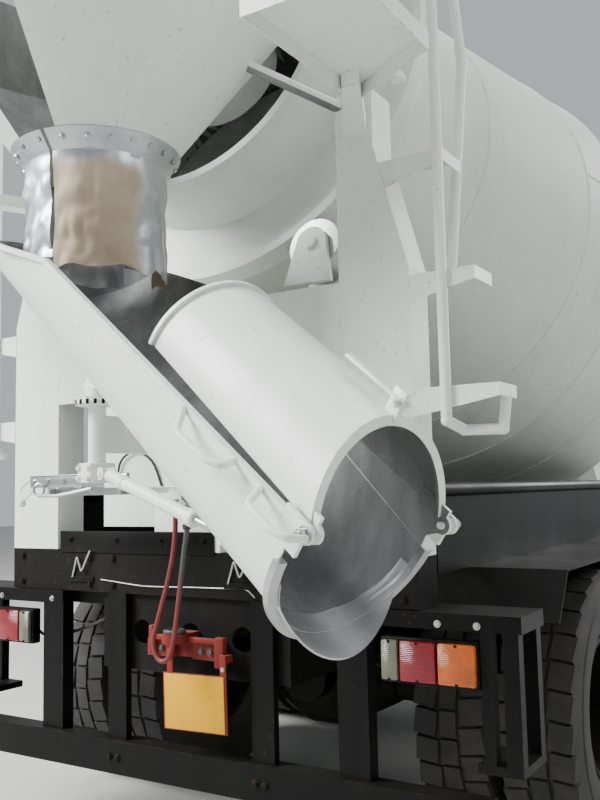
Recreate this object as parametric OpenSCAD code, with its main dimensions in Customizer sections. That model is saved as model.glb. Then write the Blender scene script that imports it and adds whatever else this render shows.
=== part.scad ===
// Concrete mixer truck, three axles, parked with its discharge chute folded
// X points forwards, Y to the left and Z up, with the ground at zero.

/* [Chassis] */
// Place of the rear lamps along the truck
tail_x = -3090; // [-3200:10:-3000]
// Rearmost axle, ahead of the lamps
axle_rear_in = 1070; // [1000:10:1150]
// Spacing of the two driven axles
bogie_pitch = 1300; // [1250:10:1400]
// Front axle, ahead of the lamps
axle_front_in = 5900; // [5700:10:6000]
// Outer half width of the frame rails
rail_y = 425; // [400:5:440]
// Height of a frame rail
rail_h = 280; // [240:10:300]
// Flange width of a frame rail
rail_flange = 80; // [70:5:90]
// Plate thickness of a frame rail
rail_wall = 8; // [6:1:10]
// Height of the rails' top above the ground
rail_top = 1000; // [980:5:1020]

/* [Wheels] */
// Outer radius of a tyre
tyre_r = 520; // [500:5:530]
// Width of a tyre
tyre_w = 280; // [260:5:290]
// Seat radius of a rim
rim_r = 254; // [250:1:260]
// Centre distance of twin tyres
twin_pitch = 320; // [315:5:335]
// Half track of the front wheels
front_track = 1030; // [1010:5:1040]
// Half track of the twin wheels, at the middle of the pair
rear_track = 920; // [910:5:930]

/* [Drum] */
// Tilt of the drum's axis
drum_tilt = 12.5; // [11:0.5:14]
// Radius of the drum's belly
belly_r = 1180; // [1150:5:1190]
// Length of the belly
belly_len = 1100; // [1000:10:1200]
// Length of the rear cone
cone_len = 2100; // [2050:10:2120]
// Radius of the drum's mouth
mouth_r = 560; // [540:5:570]
// Length of the front cone
nose_len = 1300; // [1250:10:1350]
// Plate thickness of the drum
drum_wall = 8; // [6:1:10]
// Height of a mixing blade
blade_h = 300; // [250:10:330]
// Plate thickness of a mixing blade
blade_t = 8; // [6:1:10]
// Turns of a mixing blade
blade_turns = 1.5; // [1.25:0.25:1.75]
// Outer radius of the track ring
ring_r = 865; // [855:5:875]
// Radius of a support roller
roller_r = 100; // [90:5:110]

/* [Chute] */
// Direction of the folded chute, measured from straight right to the rear
chute_turn = 16; // [12:1:20]
// Slope of the main chute
chute_slope = 37; // [35:1:38]
// Distance of the swivel axis behind the lamps
swivel_back = 440; // [430:5:450]
// Height of the chute's pitch pin
pitch_z = 1800; // [1790:5:1810]
// Distance from the pitch pin to the fold pins along the chute
fold_x = 1304; // [1280:5:1310]
// Radius of the trough at its head
head_r = 320; // [310:5:325]
// Radius of the trough at its end
tail_r = 225; // [215:5:230]
// Depth of the main trough
trough_depth = 316; // [312:1:320]
// Sheet thickness of the chutes
chute_wall = 5; // [4:1:6]
// Length of the extension chute
ext_len = 760; // [700:10:780]

/* [Cab] */
// Half width of the cab
cab_y = 1190; // [1150:10:1200]
// Rear wall of the cab, ahead of the lamps
cab_back_in = 5400; // [5350:10:5450]
// Front of the bumper, ahead of the lamps
nose_in = 7280; // [7200:10:7300]
// Underside of the cab
cab_low = 1130; // [1110:5:1150]
// Top of the cab's roof
cab_top = 2820; // [2750:10:2850]
// Wall thickness of the cab and doors
cab_wall = 45; // [40:1:50]

/* [Hidden] */
$fn = 48;
eps = 1;
gap = 0.3;
run_gap = 8;

white = [0.86, 0.87, 0.83];
black = [0.09, 0.09, 0.1];
steel = [0.55, 0.56, 0.56];
rubber = [0.14, 0.13, 0.12];
red = [0.65, 0.12, 0.1];

// Cab hinge: pivot, its pin and the lugs on it
tilt_back = 240;
tilt_z = 1050;
tilt_pin_r = 15;
tilt_lug_t = 20;
tilt_y = rail_y - rail_flange / 2;

// Lengths along the truck
axle_rear_x = tail_x + axle_rear_in;
axle_mid_x = axle_rear_x + bogie_pitch;
axle_front_x = tail_x + axle_front_in;
nose_x = tail_x + nose_in;
cab_back_x = tail_x + cab_back_in;
rail_rear_x = tail_x + 30;
rail_front_x = nose_x - 200;
rail_low = rail_top - rail_h;
tilt_x = nose_x - tilt_back;

// Subframe on the rails
sub_h = 160;
sub_w = 80;
sub_y = 345;
sub_top = rail_top + sub_h;
pedestal_x = tail_x + 4560;
pedestal_len = 460;

// Drum: a point on its axis at the belly's rear edge
drum_x = tail_x + 2125;
drum_z = 2625;
nose_r = 330;
nose_plate = 40;
ring_s = -1835;
ring_w = 90;
roller_angle = 32;

// Rear stand
post_x0 = tail_x + 10;
post_depth = 140;
post_in = 660;
post_out_top = 800;
post_out_low = 915;
post_top = 2700;
post_flare_z = 2500;
post_foot_z = 2080;
beam_z0 = 1740;
beam_z1 = 2060;
beam_x0 = tail_x + 10;
beam_depth = 310;

// Chute swivel
swivel_x = tail_x - swivel_back;
chute_az = -90 - chute_turn;
sleeve_z0 = 1480;
sleeve_z1 = 1690;
rim_z = 341;

function drum_r(s) = s < 0 ? mouth_r + (belly_r - mouth_r) * (s + cone_len) / cone_len
  : s < belly_len ? belly_r
  : belly_r + (nose_r - belly_r) * (s - belly_len) / nose_len;

// Turns the Z axis into the drum's axis, from the belly's rear edge
module on_drum_axis() translate([drum_x, 0, drum_z]) rotate([0, 90 + drum_tilt, 0]) children();

// A bar between two points, square to the axes
module bar(a, b) translate(a) cube(b - a);

// A round tube or rod between two points
module rod(a, b, r) {
  d = b - a;
  len = norm(d);
  translate(a) rotate([0, acos(d[2] / len), atan2(d[1], d[0])]) cylinder(r = r, h = len);
}

// A bent pipe through a short list of points, with a ball at each bend
module pipe(points, r) {
  for (i = [0 : len(points) - 2]) rod(points[i], points[i + 1], r);
  for (i = [1 : 1 : len(points) - 2]) translate(points[i]) sphere(r = 1.06 * r, $fn = 24);
}

module both_sides() for (side = [-1, 1]) mirror([0, side < 0 ? 1 : 0, 0]) children();

module frame_rails() color(black) {
  both_sides() difference() {
    bar([rail_rear_x, rail_y - rail_flange, rail_low], [rail_front_x, rail_y, rail_top]);
    bar([rail_rear_x - eps, rail_y - rail_flange - eps, rail_low + rail_wall],
        [rail_front_x + eps, rail_y - rail_wall, rail_top - rail_wall]);
  }
  // Cab hinge ears with their pins, and the cab's rear rests
  both_sides() {
    for (ear = [-1, 1]) translate([tilt_x, tilt_y + ear * (tilt_lug_t + 3), 0]) rotate([90, 0, 0])
      linear_extrude(tilt_lug_t, center = true) {
        translate([-35, rail_top - 5]) square([70, tilt_z - rail_top + 5]);
        translate([0, tilt_z]) circle(r = 35);
      }
    translate([tilt_x, tilt_y, tilt_z]) rotate([90, 0, 0]) cylinder(r = tilt_pin_r, h = 3 * tilt_lug_t + 6, center = true);
    bar([cab_back_x + 60, tilt_y - 40, rail_top - eps], [cab_back_x + 140, tilt_y + 40, cab_low - gap]);
  }
  // Cross-members, by their places ahead of the lamps
  for (x = [1720, 3300, 4200, 6900])
    bar([tail_x + x, -rail_y + rail_wall, rail_top - 90], [tail_x + x + 60, rail_y - rail_wall, rail_top - rail_wall]);
  difference() {
    bar([rail_rear_x, -rail_y + rail_wall, rail_low], [rail_rear_x + 12, rail_y - rail_wall, rail_top]);
    for (y = [-230, 0, 230]) translate([rail_rear_x - eps, y, (rail_low + rail_top) / 2])
      rotate([0, 90, 0]) cylinder(r = 45, h = 20);
  }
}

module mixer_subframe() color(black) {
  both_sides() bar([tail_x + 30, sub_y, rail_top], [pedestal_x + pedestal_len, sub_y + sub_w, sub_top]);
  for (x = [400, 1900, 3200, 4560])
    bar([tail_x + x, -sub_y, rail_top + 20], [tail_x + x + 80, sub_y, sub_top - 20]);
  bar([post_x0, -post_out_low, rail_top], [post_x0 + post_depth, post_out_low, sub_top]);
}

module roller_beam() color(white) {
  difference() {
    bar([beam_x0, -post_in, beam_z0], [beam_x0 + beam_depth, post_in, beam_z1]);
    bar([beam_x0 + 12, -post_in - eps, beam_z0 - eps], [beam_x0 + beam_depth - 12, post_in + eps, beam_z1 - 12]);
  }
  for (side = [-1, 1]) roller_bracket(side);
}

roller_dist = ring_r + roller_r + 0.6;
roller_w = 110;
bracket_t = 20;
// Places something on the roller's axis, which lies along the drum's
module on_roller_axis(side) on_drum_axis() rotate([0, 0, side * roller_angle]) translate([roller_dist, 0, ring_s])
  children();

roller_pin_r = 25;
// Height of a roller's axis above the beam, along its tilted bracket
roller_rise = (drum_z - ring_s * sin(drum_tilt) - roller_dist * cos(roller_angle) * cos(drum_tilt) - beam_z1)
  / cos(drum_tilt);
module roller_bracket(side) {
  for (end = [-1, 1]) on_roller_axis(side) rotate([0, 0, -side * roller_angle])
    translate([0, 0, end * (roller_w / 2 + bracket_t / 2 + 3)]) linear_extrude(bracket_t, center = true) {
      circle(r = 60);
      polygon([[0, -60], [roller_rise + end * 17 + 6, -95], [roller_rise + end * 17 + 6, 95], [0, 60]]);
    }
  on_roller_axis(side) cylinder(r = roller_pin_r, h = roller_w + 2 * bracket_t + 30, center = true);
}

module roller(side) color(steel) on_roller_axis(side) difference() {
  cylinder(r = roller_r, h = roller_w, center = true);
  cylinder(r = roller_pin_r + gap, h = roller_w + eps, center = true);
}

module post(side) color(white) mirror([0, side < 0 ? 1 : 0, 0]) {
  // Tapered plate box, its outer edge running outwards towards the foot
  translate([post_x0 + post_depth, 0, 0]) rotate([90, 0, -90]) linear_extrude(post_depth)
    polygon([[-post_in, sub_top], [-post_in, post_top], [-post_out_top, post_top],
             [-post_out_top, post_flare_z], [-post_out_low, post_foot_z], [-post_out_low, sub_top]]);
}
module post_left() post(1);
module post_right() post(-1);

// Front pedestal and the drum's gearbox
gear_s = belly_len + nose_len + run_gap;
gear_len = 330;
stub_r = 100;
foot_z = 1840;
module front_pedestal() color(white) difference() {
  translate([pedestal_x, 0, 0]) rotate([90, 0, 90]) linear_extrude(pedestal_len)
    polygon([[-sub_y - sub_w, sub_top], [sub_y + sub_w, sub_top], [250, foot_z], [-250, foot_z]]);
  bar([pedestal_x - eps, -220, sub_top + 120], [pedestal_x + pedestal_len + eps, 220, foot_z - 160]);
}

module drum_gearbox() color(steel) {
  on_drum_axis() {
    translate([0, 0, gear_s]) cylinder(r = 210, h = 60);
    translate([0, 0, gear_s + 60]) cylinder(r = 170, h = gear_len - 60);
    translate([0, 0, gear_s + gear_len]) cylinder(r = 85, h = 180);
    translate([0, 0, gear_s - run_gap - nose_plate]) cylinder(r = stub_r, h = nose_plate + run_gap + eps);
  }
  bar([pedestal_x + 20, -200, foot_z], [pedestal_x + 230, 200, foot_z + 90]);
}

module drum_shell() color(white) on_drum_axis() {
  w = drum_wall;
  rotate_extrude($fn = 96) polygon([
    [mouth_r - w, -cone_len], [mouth_r, -cone_len], [belly_r, 0], [belly_r, belly_len],
    [nose_r, belly_len + nose_len], [stub_r + gap, belly_len + nose_len],
    [stub_r + gap, belly_len + nose_len - nose_plate], [nose_r - w, belly_len + nose_len - nose_plate],
    [belly_r - w, belly_len], [belly_r - w, 0]]);
  // Rolled lip at the mouth
  translate([0, 0, -cone_len]) rotate_extrude($fn = 96)
    translate([mouth_r - w, 0]) square([w + 22, 30]);
  // Track ring on its web
  rotate_extrude($fn = 96) translate([0, ring_s]) {
    translate([ring_r - 34, -ring_w / 2]) square([34, ring_w]);
    translate([drum_r(ring_s) - w / 2, -12]) square([ring_r - 30 - drum_r(ring_s), 24]);
  }
}

// Mixing blades: two helical fins that stand on the shell's inside
blade_s0 = 160 - cone_len;
blade_s1 = belly_len + nose_len - 500;
blade_step = 10;
blade_seat = 0.8;
// Inner radius of the shell
function drum_inside(s) = s < belly_len ? drum_r(s) - drum_wall
  : belly_r - drum_wall + (nose_r - belly_r) * (s - belly_len) / (nose_len - nose_plate);
function blade_ring(a0, a) = let(
    part = a / (360 * blade_turns),
    s = blade_s0 + (blade_s1 - blade_s0) * part,
    ro = min(drum_inside(s), drum_inside(s + blade_t)) - blade_seat,
    ri = ro - blade_h * min(1, 0.45 + 1.6 * part),
    c = cos(a0 + a), d = sin(a0 + a))
  [[ro * c, ro * d, s], [ro * c, ro * d, s + blade_t], [ri * c, ri * d, s + blade_t], [ri * c, ri * d, s]];
module blade(a0) {
  count = 360 * blade_turns / blade_step;
  points = [for (i = [0 : count]) each blade_ring(a0, i * blade_step)];
  sides = [for (i = [0 : count - 1], k = [0 : 3])
    let(p = 4 * i + k, q = 4 * i + (k + 1) % 4) each [[p, q, q + 4], [p, q + 4, p + 4]]];
  polyhedron(points, concat([[0, 3, 2], [0, 2, 1]], sides,
    [[4 * count, 4 * count + 1, 4 * count + 2], [4 * count, 4 * count + 2, 4 * count + 3]]));
}
module drum_blades() color(steel) on_drum_axis() for (a = [0, 180]) blade(a);

module roller_left() roller(1);
module roller_right() roller(-1);

// Engine and drive
engine_z0 = 560;
module engine() color(steel)
  bar([axle_front_x - 350, -rail_y + rail_flange + 40, engine_z0 + 60], [axle_front_x + 800, rail_y - rail_flange - 40, 1090]);

module driveline() color(steel) {
  rod([axle_front_x - 350 - gap, 0, 800], [axle_front_x - 1150, 0, 800], 170);
  rod([axle_front_x - 1150, 0, 800], [axle_mid_x + nose_half + 60, 0, tyre_r + 70], 50);
  rod([axle_mid_x + nose_half + 70, 0, tyre_r + 60], [axle_mid_x + nose_half + gap, 0, tyre_r + 60], 70);
  rod([axle_mid_x - nose_half - gap, 0, tyre_r + 60], [axle_rear_x + nose_half + gap, 0, tyre_r + 60], 50);
}

// Axles and springs
hub_y = rear_track;
axle_r = 62;
nose_half = 280;
spring_y = 485;
leaf_w = 90;
module rear_bogie() color(black) {
  for (x = [axle_mid_x, axle_rear_x]) {
    rod([x, -hub_y - 110, tyre_r], [x, hub_y + 110, tyre_r], axle_r);
    translate([x, 0, tyre_r]) rotate([90, 0, 0]) rotate_extrude()
      polygon([[0, -330], [axle_r + 8, -330], [140, -190], [195, -80], [195, 80], [140, 190], [axle_r + 8, 330],
        [0, 330]]);
    translate([x, 0, tyre_r + 60]) rotate([0, 90, 0]) cylinder(r = 110, h = 2 * nose_half, center = true);
  }
  both_sides() for (leaf = [0 : 4]) {
    reach = bogie_pitch / 2 + 60 - leaf * 110;
    z = tyre_r + axle_r - 1 + leaf * 16;
    bar([(axle_mid_x + axle_rear_x) / 2 - reach, spring_y - leaf_w / 2, z],
        [(axle_mid_x + axle_rear_x) / 2 + reach, spring_y + leaf_w / 2, z + 16]);
  }
  // Trunnion brackets under the rails
  both_sides() bar([(axle_mid_x + axle_rear_x) / 2 - 90, rail_y - rail_flange, tyre_r + 140],
    [(axle_mid_x + axle_rear_x) / 2 + 90, spring_y + leaf_w / 2, rail_low]);
}

pin_y = front_track - 165;
pin_r = 18;
eye_h = 110;
module front_axle() color(black) {
  difference() {
    union() {
      bar([axle_front_x - 45, -pin_y + 70, tyre_r - 90], [axle_front_x + 45, pin_y - 70, tyre_r + 20]);
      bar([axle_front_x - 40, -pin_y + 20, tyre_r - 50], [axle_front_x + 40, pin_y - 20, tyre_r + 18]);
      both_sides() translate([axle_front_x, pin_y, tyre_r - eye_h / 2]) cylinder(r = 45, h = eye_h);
    }
    both_sides() translate([axle_front_x, pin_y, 0]) cylinder(r = pin_r + gap, h = 2 * tyre_r);
  }
  both_sides() for (leaf = [0 : 3])
    bar([axle_front_x - 700 + leaf * 90, rail_y - 80, tyre_r + 20 + leaf * 14],
        [axle_front_x + 700 - leaf * 90, rail_y, tyre_r + 34 + leaf * 14]);
  // Spring hangers at both ends
  both_sides() for (x = [-700, 620])
    bar([axle_front_x + x, rail_y - 75, tyre_r + 34], [axle_front_x + x + 80, rail_y - 5, rail_low]);
}

spindle_r = 34;
spindle_end = 150;
module knuckle(side) color(steel) mirror([0, side < 0 ? 1 : 0, 0]) translate([axle_front_x, 0, tyre_r]) {
  translate([0, pin_y, -eye_h / 2 - 40]) cylinder(r = pin_r, h = eye_h + 80);
  for (z = [-eye_h / 2 - 36, eye_h / 2 + 6]) {
    translate([0, pin_y, z]) cylinder(r = 42, h = 30);
    bar([-36, pin_y, z], [36, pin_y + 76, z + 30]);
  }
  bar([-60, pin_y + 54, -eye_h / 2 - 36], [60, pin_y + 78, eye_h / 2 + 36]);
  rod([0, pin_y + 70, 0], [0, front_track + spindle_end, 0], spindle_r);
}
module knuckle_left() knuckle(1);
module knuckle_right() knuckle(-1);

// Wheels, revolved about Y with the outer face towards +Y
module tyre() rotate([-90, 0, 0]) rotate_extrude($fn = 72) {
  w = tyre_w / 2;
  polygon([[rim_r - eps, -barrel_w - eps], [rim_r + 30, -barrel_w - eps], [rim_r + 40, -w + 22], [rim_r + 110, -w], [rim_r + 180, -w + 4],
    [tyre_r - 26, -w + 16], [tyre_r - 4, -w + 40], [tyre_r, -w + 70], [tyre_r, w - 70],
    [tyre_r - 4, w - 40], [tyre_r - 26, w - 16], [rim_r + 180, w - 4], [rim_r + 110, w],
    [rim_r + 40, w - 22], [rim_r + 30, barrel_w + eps], [rim_r - eps, barrel_w + eps]]);
}
// Rim barrel with its flanges, and a dished disc whose nave lies at a place along the axle
disc_t = 16;
barrel_w = tyre_w / 2 - 40;
module rim(nave_at, bore) rotate([-90, 0, 0]) rotate_extrude($fn = 72) {
  w = barrel_w;
  inward = nave_at < 0 ? 1 : -1;
  foot = nave_at + inward * 75;
  polygon([[rim_r - 12, -w - 10], [rim_r + 18, -w - 10], [rim_r + 18, -w], [rim_r, -w], [rim_r, w],
    [rim_r + 18, w], [rim_r + 18, w + 10], [rim_r - 12, w + 10]]);
  polygon([[bore, nave_at], [165, nave_at], [rim_r - 10, foot], [rim_r - 10, foot + inward * disc_t],
    [158, nave_at + inward * disc_t], [bore, nave_at + inward * disc_t]]);
}
nave_bore = 100;
// Hub on its shaft: brake drum, flange, nose and cap, from the nave outwards
module hub(shaft_r, drum_r, drum_len, nose_len, shaft_end) rotate([-90, 0, 0]) rotate_extrude($fn = 48)
  polygon([[shaft_r, -drum_len], [drum_r, -drum_len], [drum_r, -50], [165, -50], [165, eps], [nave_bore + 1, eps],
    [nave_bore + 1, disc_t * 2], [88, disc_t * 2 + 6], [76, nose_len - 12], [60, nose_len], [0, nose_len],
    [0, shaft_end + 6], [shaft_r, shaft_end + 6]]);
nave_out = twin_pitch / 2 + eps;
module front_wheel(side) color(rubber) translate([axle_front_x, side * front_track, tyre_r])
  mirror([0, side < 0 ? 1 : 0, 0]) {
    tyre();
    rim(nave_out - 20, nave_bore);
    translate([0, nave_out - 20 - disc_t, 0]) hub(spindle_r + gap, 195, 150, 95, spindle_end - nave_out + 20 + disc_t);
  }
module twin_wheel(x, side) color(rubber) translate([x, side * rear_track, tyre_r])
  mirror([0, side < 0 ? 1 : 0, 0]) {
    translate([0, twin_pitch / 2, 0]) { tyre(); rim(-nave_out, nave_bore); }
    translate([0, -twin_pitch / 2, 0]) { tyre(); rim(nave_out, nave_bore); }
    translate([0, -disc_t, 0]) hub(axle_r + gap, 195, 190, 150, 110 + disc_t);
  }
module wheel_front_left() front_wheel(1);
module wheel_front_right() front_wheel(-1);
module wheel_mid_left() twin_wheel(axle_mid_x, 1);
module wheel_mid_right() twin_wheel(axle_mid_x, -1);
module wheel_rear_left() twin_wheel(axle_rear_x, 1);
module wheel_rear_right() twin_wheel(axle_rear_x, -1);

// Tanks and boxes beside the rails
module fuel_tank() color(steel) {
  x = tail_x + 3560;
  translate([x, 0, 0]) rotate([90, 0, 90]) linear_extrude(760)
    polygon([[rail_y + 60, 470], [rail_y + 90, 440], [1060, 440], [1100, 480], [1100, 900], [1060, 940],
      [rail_y + 90, 940], [rail_y + 60, 910]]);
  for (s = [120, 600]) bar([x + s, rail_y, 760], [x + s + 50, rail_y + 62, 960]);
}
module air_rack() color(black) {
  x = tail_x + 3560;
  bar([x, -1090, 640], [x + 620, -rail_y - 60, 940]);
  for (y = [-620, -900]) rod([x, y, 525], [x + 700, y, 525], 110);
  for (s = [120, 500]) {
    bar([x + s, -rail_y - 62, 760], [x + s + 50, -rail_y, 960]);
    bar([x + s, -960, 600], [x + s + 50, -560, 642]);
  }
}
module silencer() color(steel) {
  x = tail_x + 4480;
  rod([x, -760, 640], [x + 620, -760, 640], 130);
  bar([x + 280, -780, 760], [x + 330, -rail_y, 800]);
  pipe([[x, -760, 640], [x - 90, -760, 640], [x - 90, -1000, 560]], 45);
}
tank_r = 180;
module water_tank() color(white) {
  x = tail_x + 5210;
  z = sub_top + tank_r + 60;
  translate([x, -700, z]) rotate([-90, 0, 0]) rotate_extrude()
    polygon([[0, -50], [90, -40], [tank_r - 10, -10], [tank_r, 0], [tank_r, 1400], [tank_r - 10, 1410],
      [90, 1440], [0, 1450]]);
  both_sides() bar([x - 60, sub_y, rail_top], [x + 60, sub_y + sub_w, z - tank_r + 12]);
}

// Mudguards over the driven wheels, with an upright panel and a pipe on top
guard_z = 1085;
guard_in = 600;
guard_out = 1235;
panel_y = 880;
panel_top = 1345;
module mudguard(side) color(black) mirror([0, side < 0 ? 1 : 0, 0]) {
  x0 = tail_x + 380;
  x1 = axle_mid_x + 720;
  translate([0, guard_out, 0]) rotate([90, 0, 0]) linear_extrude(guard_out - guard_in)
    polygon([[x0, guard_z - 160], [x0 + 130, guard_z], [x1 - 130, guard_z], [x1, guard_z - 160],
      [x1 + 5, guard_z - 155], [x1 - 127, guard_z + 5], [x0 + 127, guard_z + 5], [x0 - 5, guard_z - 155]]);
  bar([tail_x + 230, panel_y, guard_z + 5], [x1 - 130, panel_y + 5, panel_top]);
  rod([tail_x + 230, panel_y, panel_top + 22], [x1 - 130, panel_y, panel_top + 22], 24);
  // Brackets from the rail
  for (x = [x0 + 200, (axle_mid_x + axle_rear_x) / 2, x1 - 240])
    bar([x, rail_y, rail_top - 60], [x + 40, guard_in + 200, rail_top - 20]);
  for (x = [x0 + 200, (axle_mid_x + axle_rear_x) / 2, x1 - 240])
    bar([x, guard_in + 160, rail_top - 20], [x + 40, guard_in + 200, guard_z + 2]);
}
module mudguard_left() mudguard(1);
module mudguard_right() mudguard(-1);

// Shelf over the rear lamps, with its legs and stirrup
shelf_top = 998;
shelf_h = 50;
shelf_in = 620;
shelf_out = 1235;
shelf_depth = 210;
stirrup_z = 570;
module tail_shelf(side) color(black) mirror([0, side < 0 ? 1 : 0, 0]) {
  bar([tail_x, shelf_in, shelf_top - shelf_h], [tail_x + shelf_depth, shelf_out, shelf_top]);
  bar([tail_x + 60, rail_y, shelf_top - shelf_h], [tail_x + 150, shelf_in + eps, shelf_top - 5]);
  for (x = [tail_x + eps, tail_x + shelf_depth - 41])
    bar([x, shelf_out - 60, stirrup_z - eps], [x + 40, shelf_out - 11, shelf_top - shelf_h + eps]);
  bar([tail_x + eps, shelf_out - 149, stirrup_z - 25], [tail_x + shelf_depth - eps, shelf_out - 10, stirrup_z]);
  bar([tail_x + 2, shelf_out - 128, stirrup_z - eps], [tail_x + 40, shelf_out - 91, shelf_top - shelf_h + eps]);
  bar([tail_x + 3, shelf_in + eps, under_z + under_h], [tail_x + 60, shelf_in + 110, shelf_top - shelf_h + eps]);
}
module tail_shelf_left() tail_shelf(1);
module tail_shelf_right() tail_shelf(-1);

lamp_z = 850;
lamp_h = 128;
lamp_d = 60;
module tail_lamps() both_sides() {
  // columns: inner edge, outer edge, colour
  for (lens = [[788, 848, "white"], [850, 974, "red"], [976, 1100, "orange"]])
    color(lens[2]) bar([tail_x - 6, lens[0], lamp_z - lamp_h / 2], [tail_x + 26, lens[1], lamp_z + lamp_h / 2]);
  color(black) bar([tail_x + 26, 784, lamp_z - lamp_h / 2 - 4], [tail_x + 40, 1074, shelf_top - shelf_h]);
}

under_z = 345;
under_h = 120;
module underrun_bar() color(black) {
  bar([tail_x - 20, -1120, under_z], [tail_x + 60, 1120, under_z + under_h]);
  both_sides() bar([rail_rear_x - 30, 285, under_z + under_h - eps], [rail_rear_x, 375, rail_top]);
}

module tow_bracket() color(red) {
  difference() {
    bar([tail_x - 20, -160, 790], [rail_rear_x, 160, 850]);
    bar([tail_x - 20 - eps, -48, 780], [tail_x + 10, 48, 860]);
  }
  translate([tail_x - 60, 0, 850]) difference() {
    union() {
      cylinder(r = 45, h = 30);
      bar([0, -40, 0], [90, 40, 30]);
    }
    translate([0, 0, -eps]) cylinder(r = 22, h = 40);
  }
}

// Decks beside the hopper, reached by the ladders
deck_z = 2600;
deck_t = 50;
deck_wall = 5;
deck_in = 860;
deck_out = 1185;
// Outline of a deck, shrunk by an amount: inner front, outer front, outer rear, inner rear
function deck_outline(in) = [[tail_x - 215 - in, deck_in + in], [tail_x - 400 - in, deck_out - in],
  [tail_x - 820 + in, deck_out - in], [tail_x - 820 + in, deck_in + in]];
module service_platform() color(white) both_sides() {
  translate([0, 0, deck_z - deck_t]) difference() {
    linear_extrude(deck_t) polygon(deck_outline(0));
    translate([0, 0, -eps]) linear_extrude(deck_t - deck_wall + eps) polygon(deck_outline(deck_wall));
  }
  // Strut from the post to the deck's front corner
  translate([0, 0, deck_z - deck_t]) linear_extrude(deck_t - deck_wall + 2)
    polygon([[tail_x - 330, deck_in + 15], [tail_x - 330, deck_in + 75], [post_x0 - gap, post_out_top - 20],
      [post_x0 - gap, post_in + 30]]);
}

// Ladder steps: height of the tread, outer end
steps = [[2440, 1045], [2050, 1135], [1685, 1200]];
// Outer edge of a post at a height
function post_out(z) = z >= post_flare_z ? post_out_top : z <= post_foot_z ? post_out_low
  : post_out_low + (post_out_top - post_out_low) * (z - post_foot_z) / (post_flare_z - post_foot_z);
tread_d = 150;
rail_pipe_r = 17;
module ladder(side) color(white) mirror([0, side < 0 ? 1 : 0, 0]) {
  for (step = steps) {
    root = post_out(step[0]);
    root_low = post_out(step[0] - 90);
    translate([post_x0 - 1, 0, 0]) rotate([90, 0, 90]) linear_extrude(4)
      polygon([[root, step[0]], [step[1], step[0]], [step[1], step[0] - 40], [root_low, step[0] - 90]]);
    bar([post_x0, post_out(step[0] - 4), step[0] - 4], [post_x0 + tread_d, step[1], step[0]]);
    bar([post_x0, step[1] - 4, step[0] - 40], [post_x0 + tread_d, step[1], step[0]]);
  }
  pipe([[post_x0 + 100, 1185, 1660], [post_x0 + 100, 1170, 1550], [post_x0 + 60, 1060, 1550],
    [post_x0 - 10, 1030, 1578], [post_x0 - 10, 1030, 3300], [post_x0 + 60, 1010, 3350],
    [post_x0 + tread_d + 60, 1000, 3300], [post_x0 + tread_d + 60, 1040, 2800],
    [post_x0 + tread_d - 10, 1000, 2030]], rail_pipe_r);
}
module ladder_left() ladder(1);
module ladder_right() ladder(-1);

// Charge hopper above the drum's mouth, with its spout
hopper_x = tail_x - 400;
hopper_z = 3240;
leg_r = 22;
leg_shift = -60;
module charge_hopper() color(white) {
  translate([hopper_x, 0, hopper_z]) rotate_extrude($fn = 64)
    polygon([[260, 0], [265, 0], [560, 560], [575, 560], [575, 600], [555, 600], [555, 566]]);
  // Spout that leads into the mouth
  difference() {
    rod([hopper_x - 230, 0, hopper_z + 145], [tail_x + 330, 0, 3060], 220);
    rod([hopper_x - 310, 0, hopper_z + 172], [tail_x + 430, 0, 3026], 215);
    translate([hopper_x, 0, hopper_z + 3]) cylinder(r1 = 260, r2 = 474, h = 400);
  }
  // Legs to the decks
  both_sides() difference() {
    for (x = [-1, 1])
      rod([hopper_x + x * 390, 415, hopper_z + 590], [hopper_x + x * 280 + leg_shift, 1000, deck_z - 20], leg_r);
    bar([hopper_x - 600, 800, deck_z - 100], [hopper_x + 600, 1180, deck_z + gap]);
  }
}

// Collecting funnel: two shells with a gap at the rear, open towards the drum
guide_x = swivel_x;
guide_t = 4;
guide_gap = 34;
guide_span = 112;
guide_z = [2440, 2950, 3330];
guide_r = [222, 640, 690];
module flow_guides() {
  for (side = [-1, 1]) color(white) mirror([0, side < 0 ? 1 : 0, 0]) translate([guide_x, 0, 0])
    rotate([0, 0, 180 - guide_gap / 2 - guide_span]) rotate_extrude(angle = guide_span, $fn = 96)
      polygon([[guide_r[0], guide_z[0]], [guide_r[0] + guide_t, guide_z[0]],
        [guide_r[1] + guide_t, guide_z[1]], [guide_r[2] + guide_t, guide_z[2]],
        [guide_r[2], guide_z[2]], [guide_r[1], guide_z[1]]]);
  // Stays to the posts
  color(white) both_sides() difference() {
    rod([guide_x + 251, 436, 2800], [post_x0 + 30, post_in + 35, 2654], 20);
    bar([post_x0 - gap, 400, 2500], [post_x0 + 100, 900, 2900]);
  }
}

// Outer radius of the funnel's lower cone at a height
function guide_out(z) = guide_t + guide_r[0] + (guide_r[1] - guide_r[0]) * (z - guide_z[0]) / (guide_z[1] - guide_z[0]);

// Sheets bolted under the funnel, hanging into the chute's head
skirt_z = 2070;
skirt_r = 214;
skirt_t = 3;
module skirt_sheets() for (side = [-1, 1]) color(side < 0 ? [0.55, 0.47, 0.36] : steel)
  translate([guide_x, 0, 0]) rotate([0, 0, side < 0 ? 188 : 20]) rotate_extrude(angle = side < 0 ? 158 : 164, $fn = 64)
    polygon([[skirt_r, skirt_z], [skirt_r + skirt_t, skirt_z], [guide_r[0] + guide_t + gap + skirt_t, guide_z[0]],
      [guide_out(guide_z[0] + 55) + gap + skirt_t, guide_z[0] + 55], [guide_out(guide_z[0] + 55) + gap, guide_z[0] + 55],
      [guide_r[0] + guide_t + gap, guide_z[0]]]);

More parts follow.
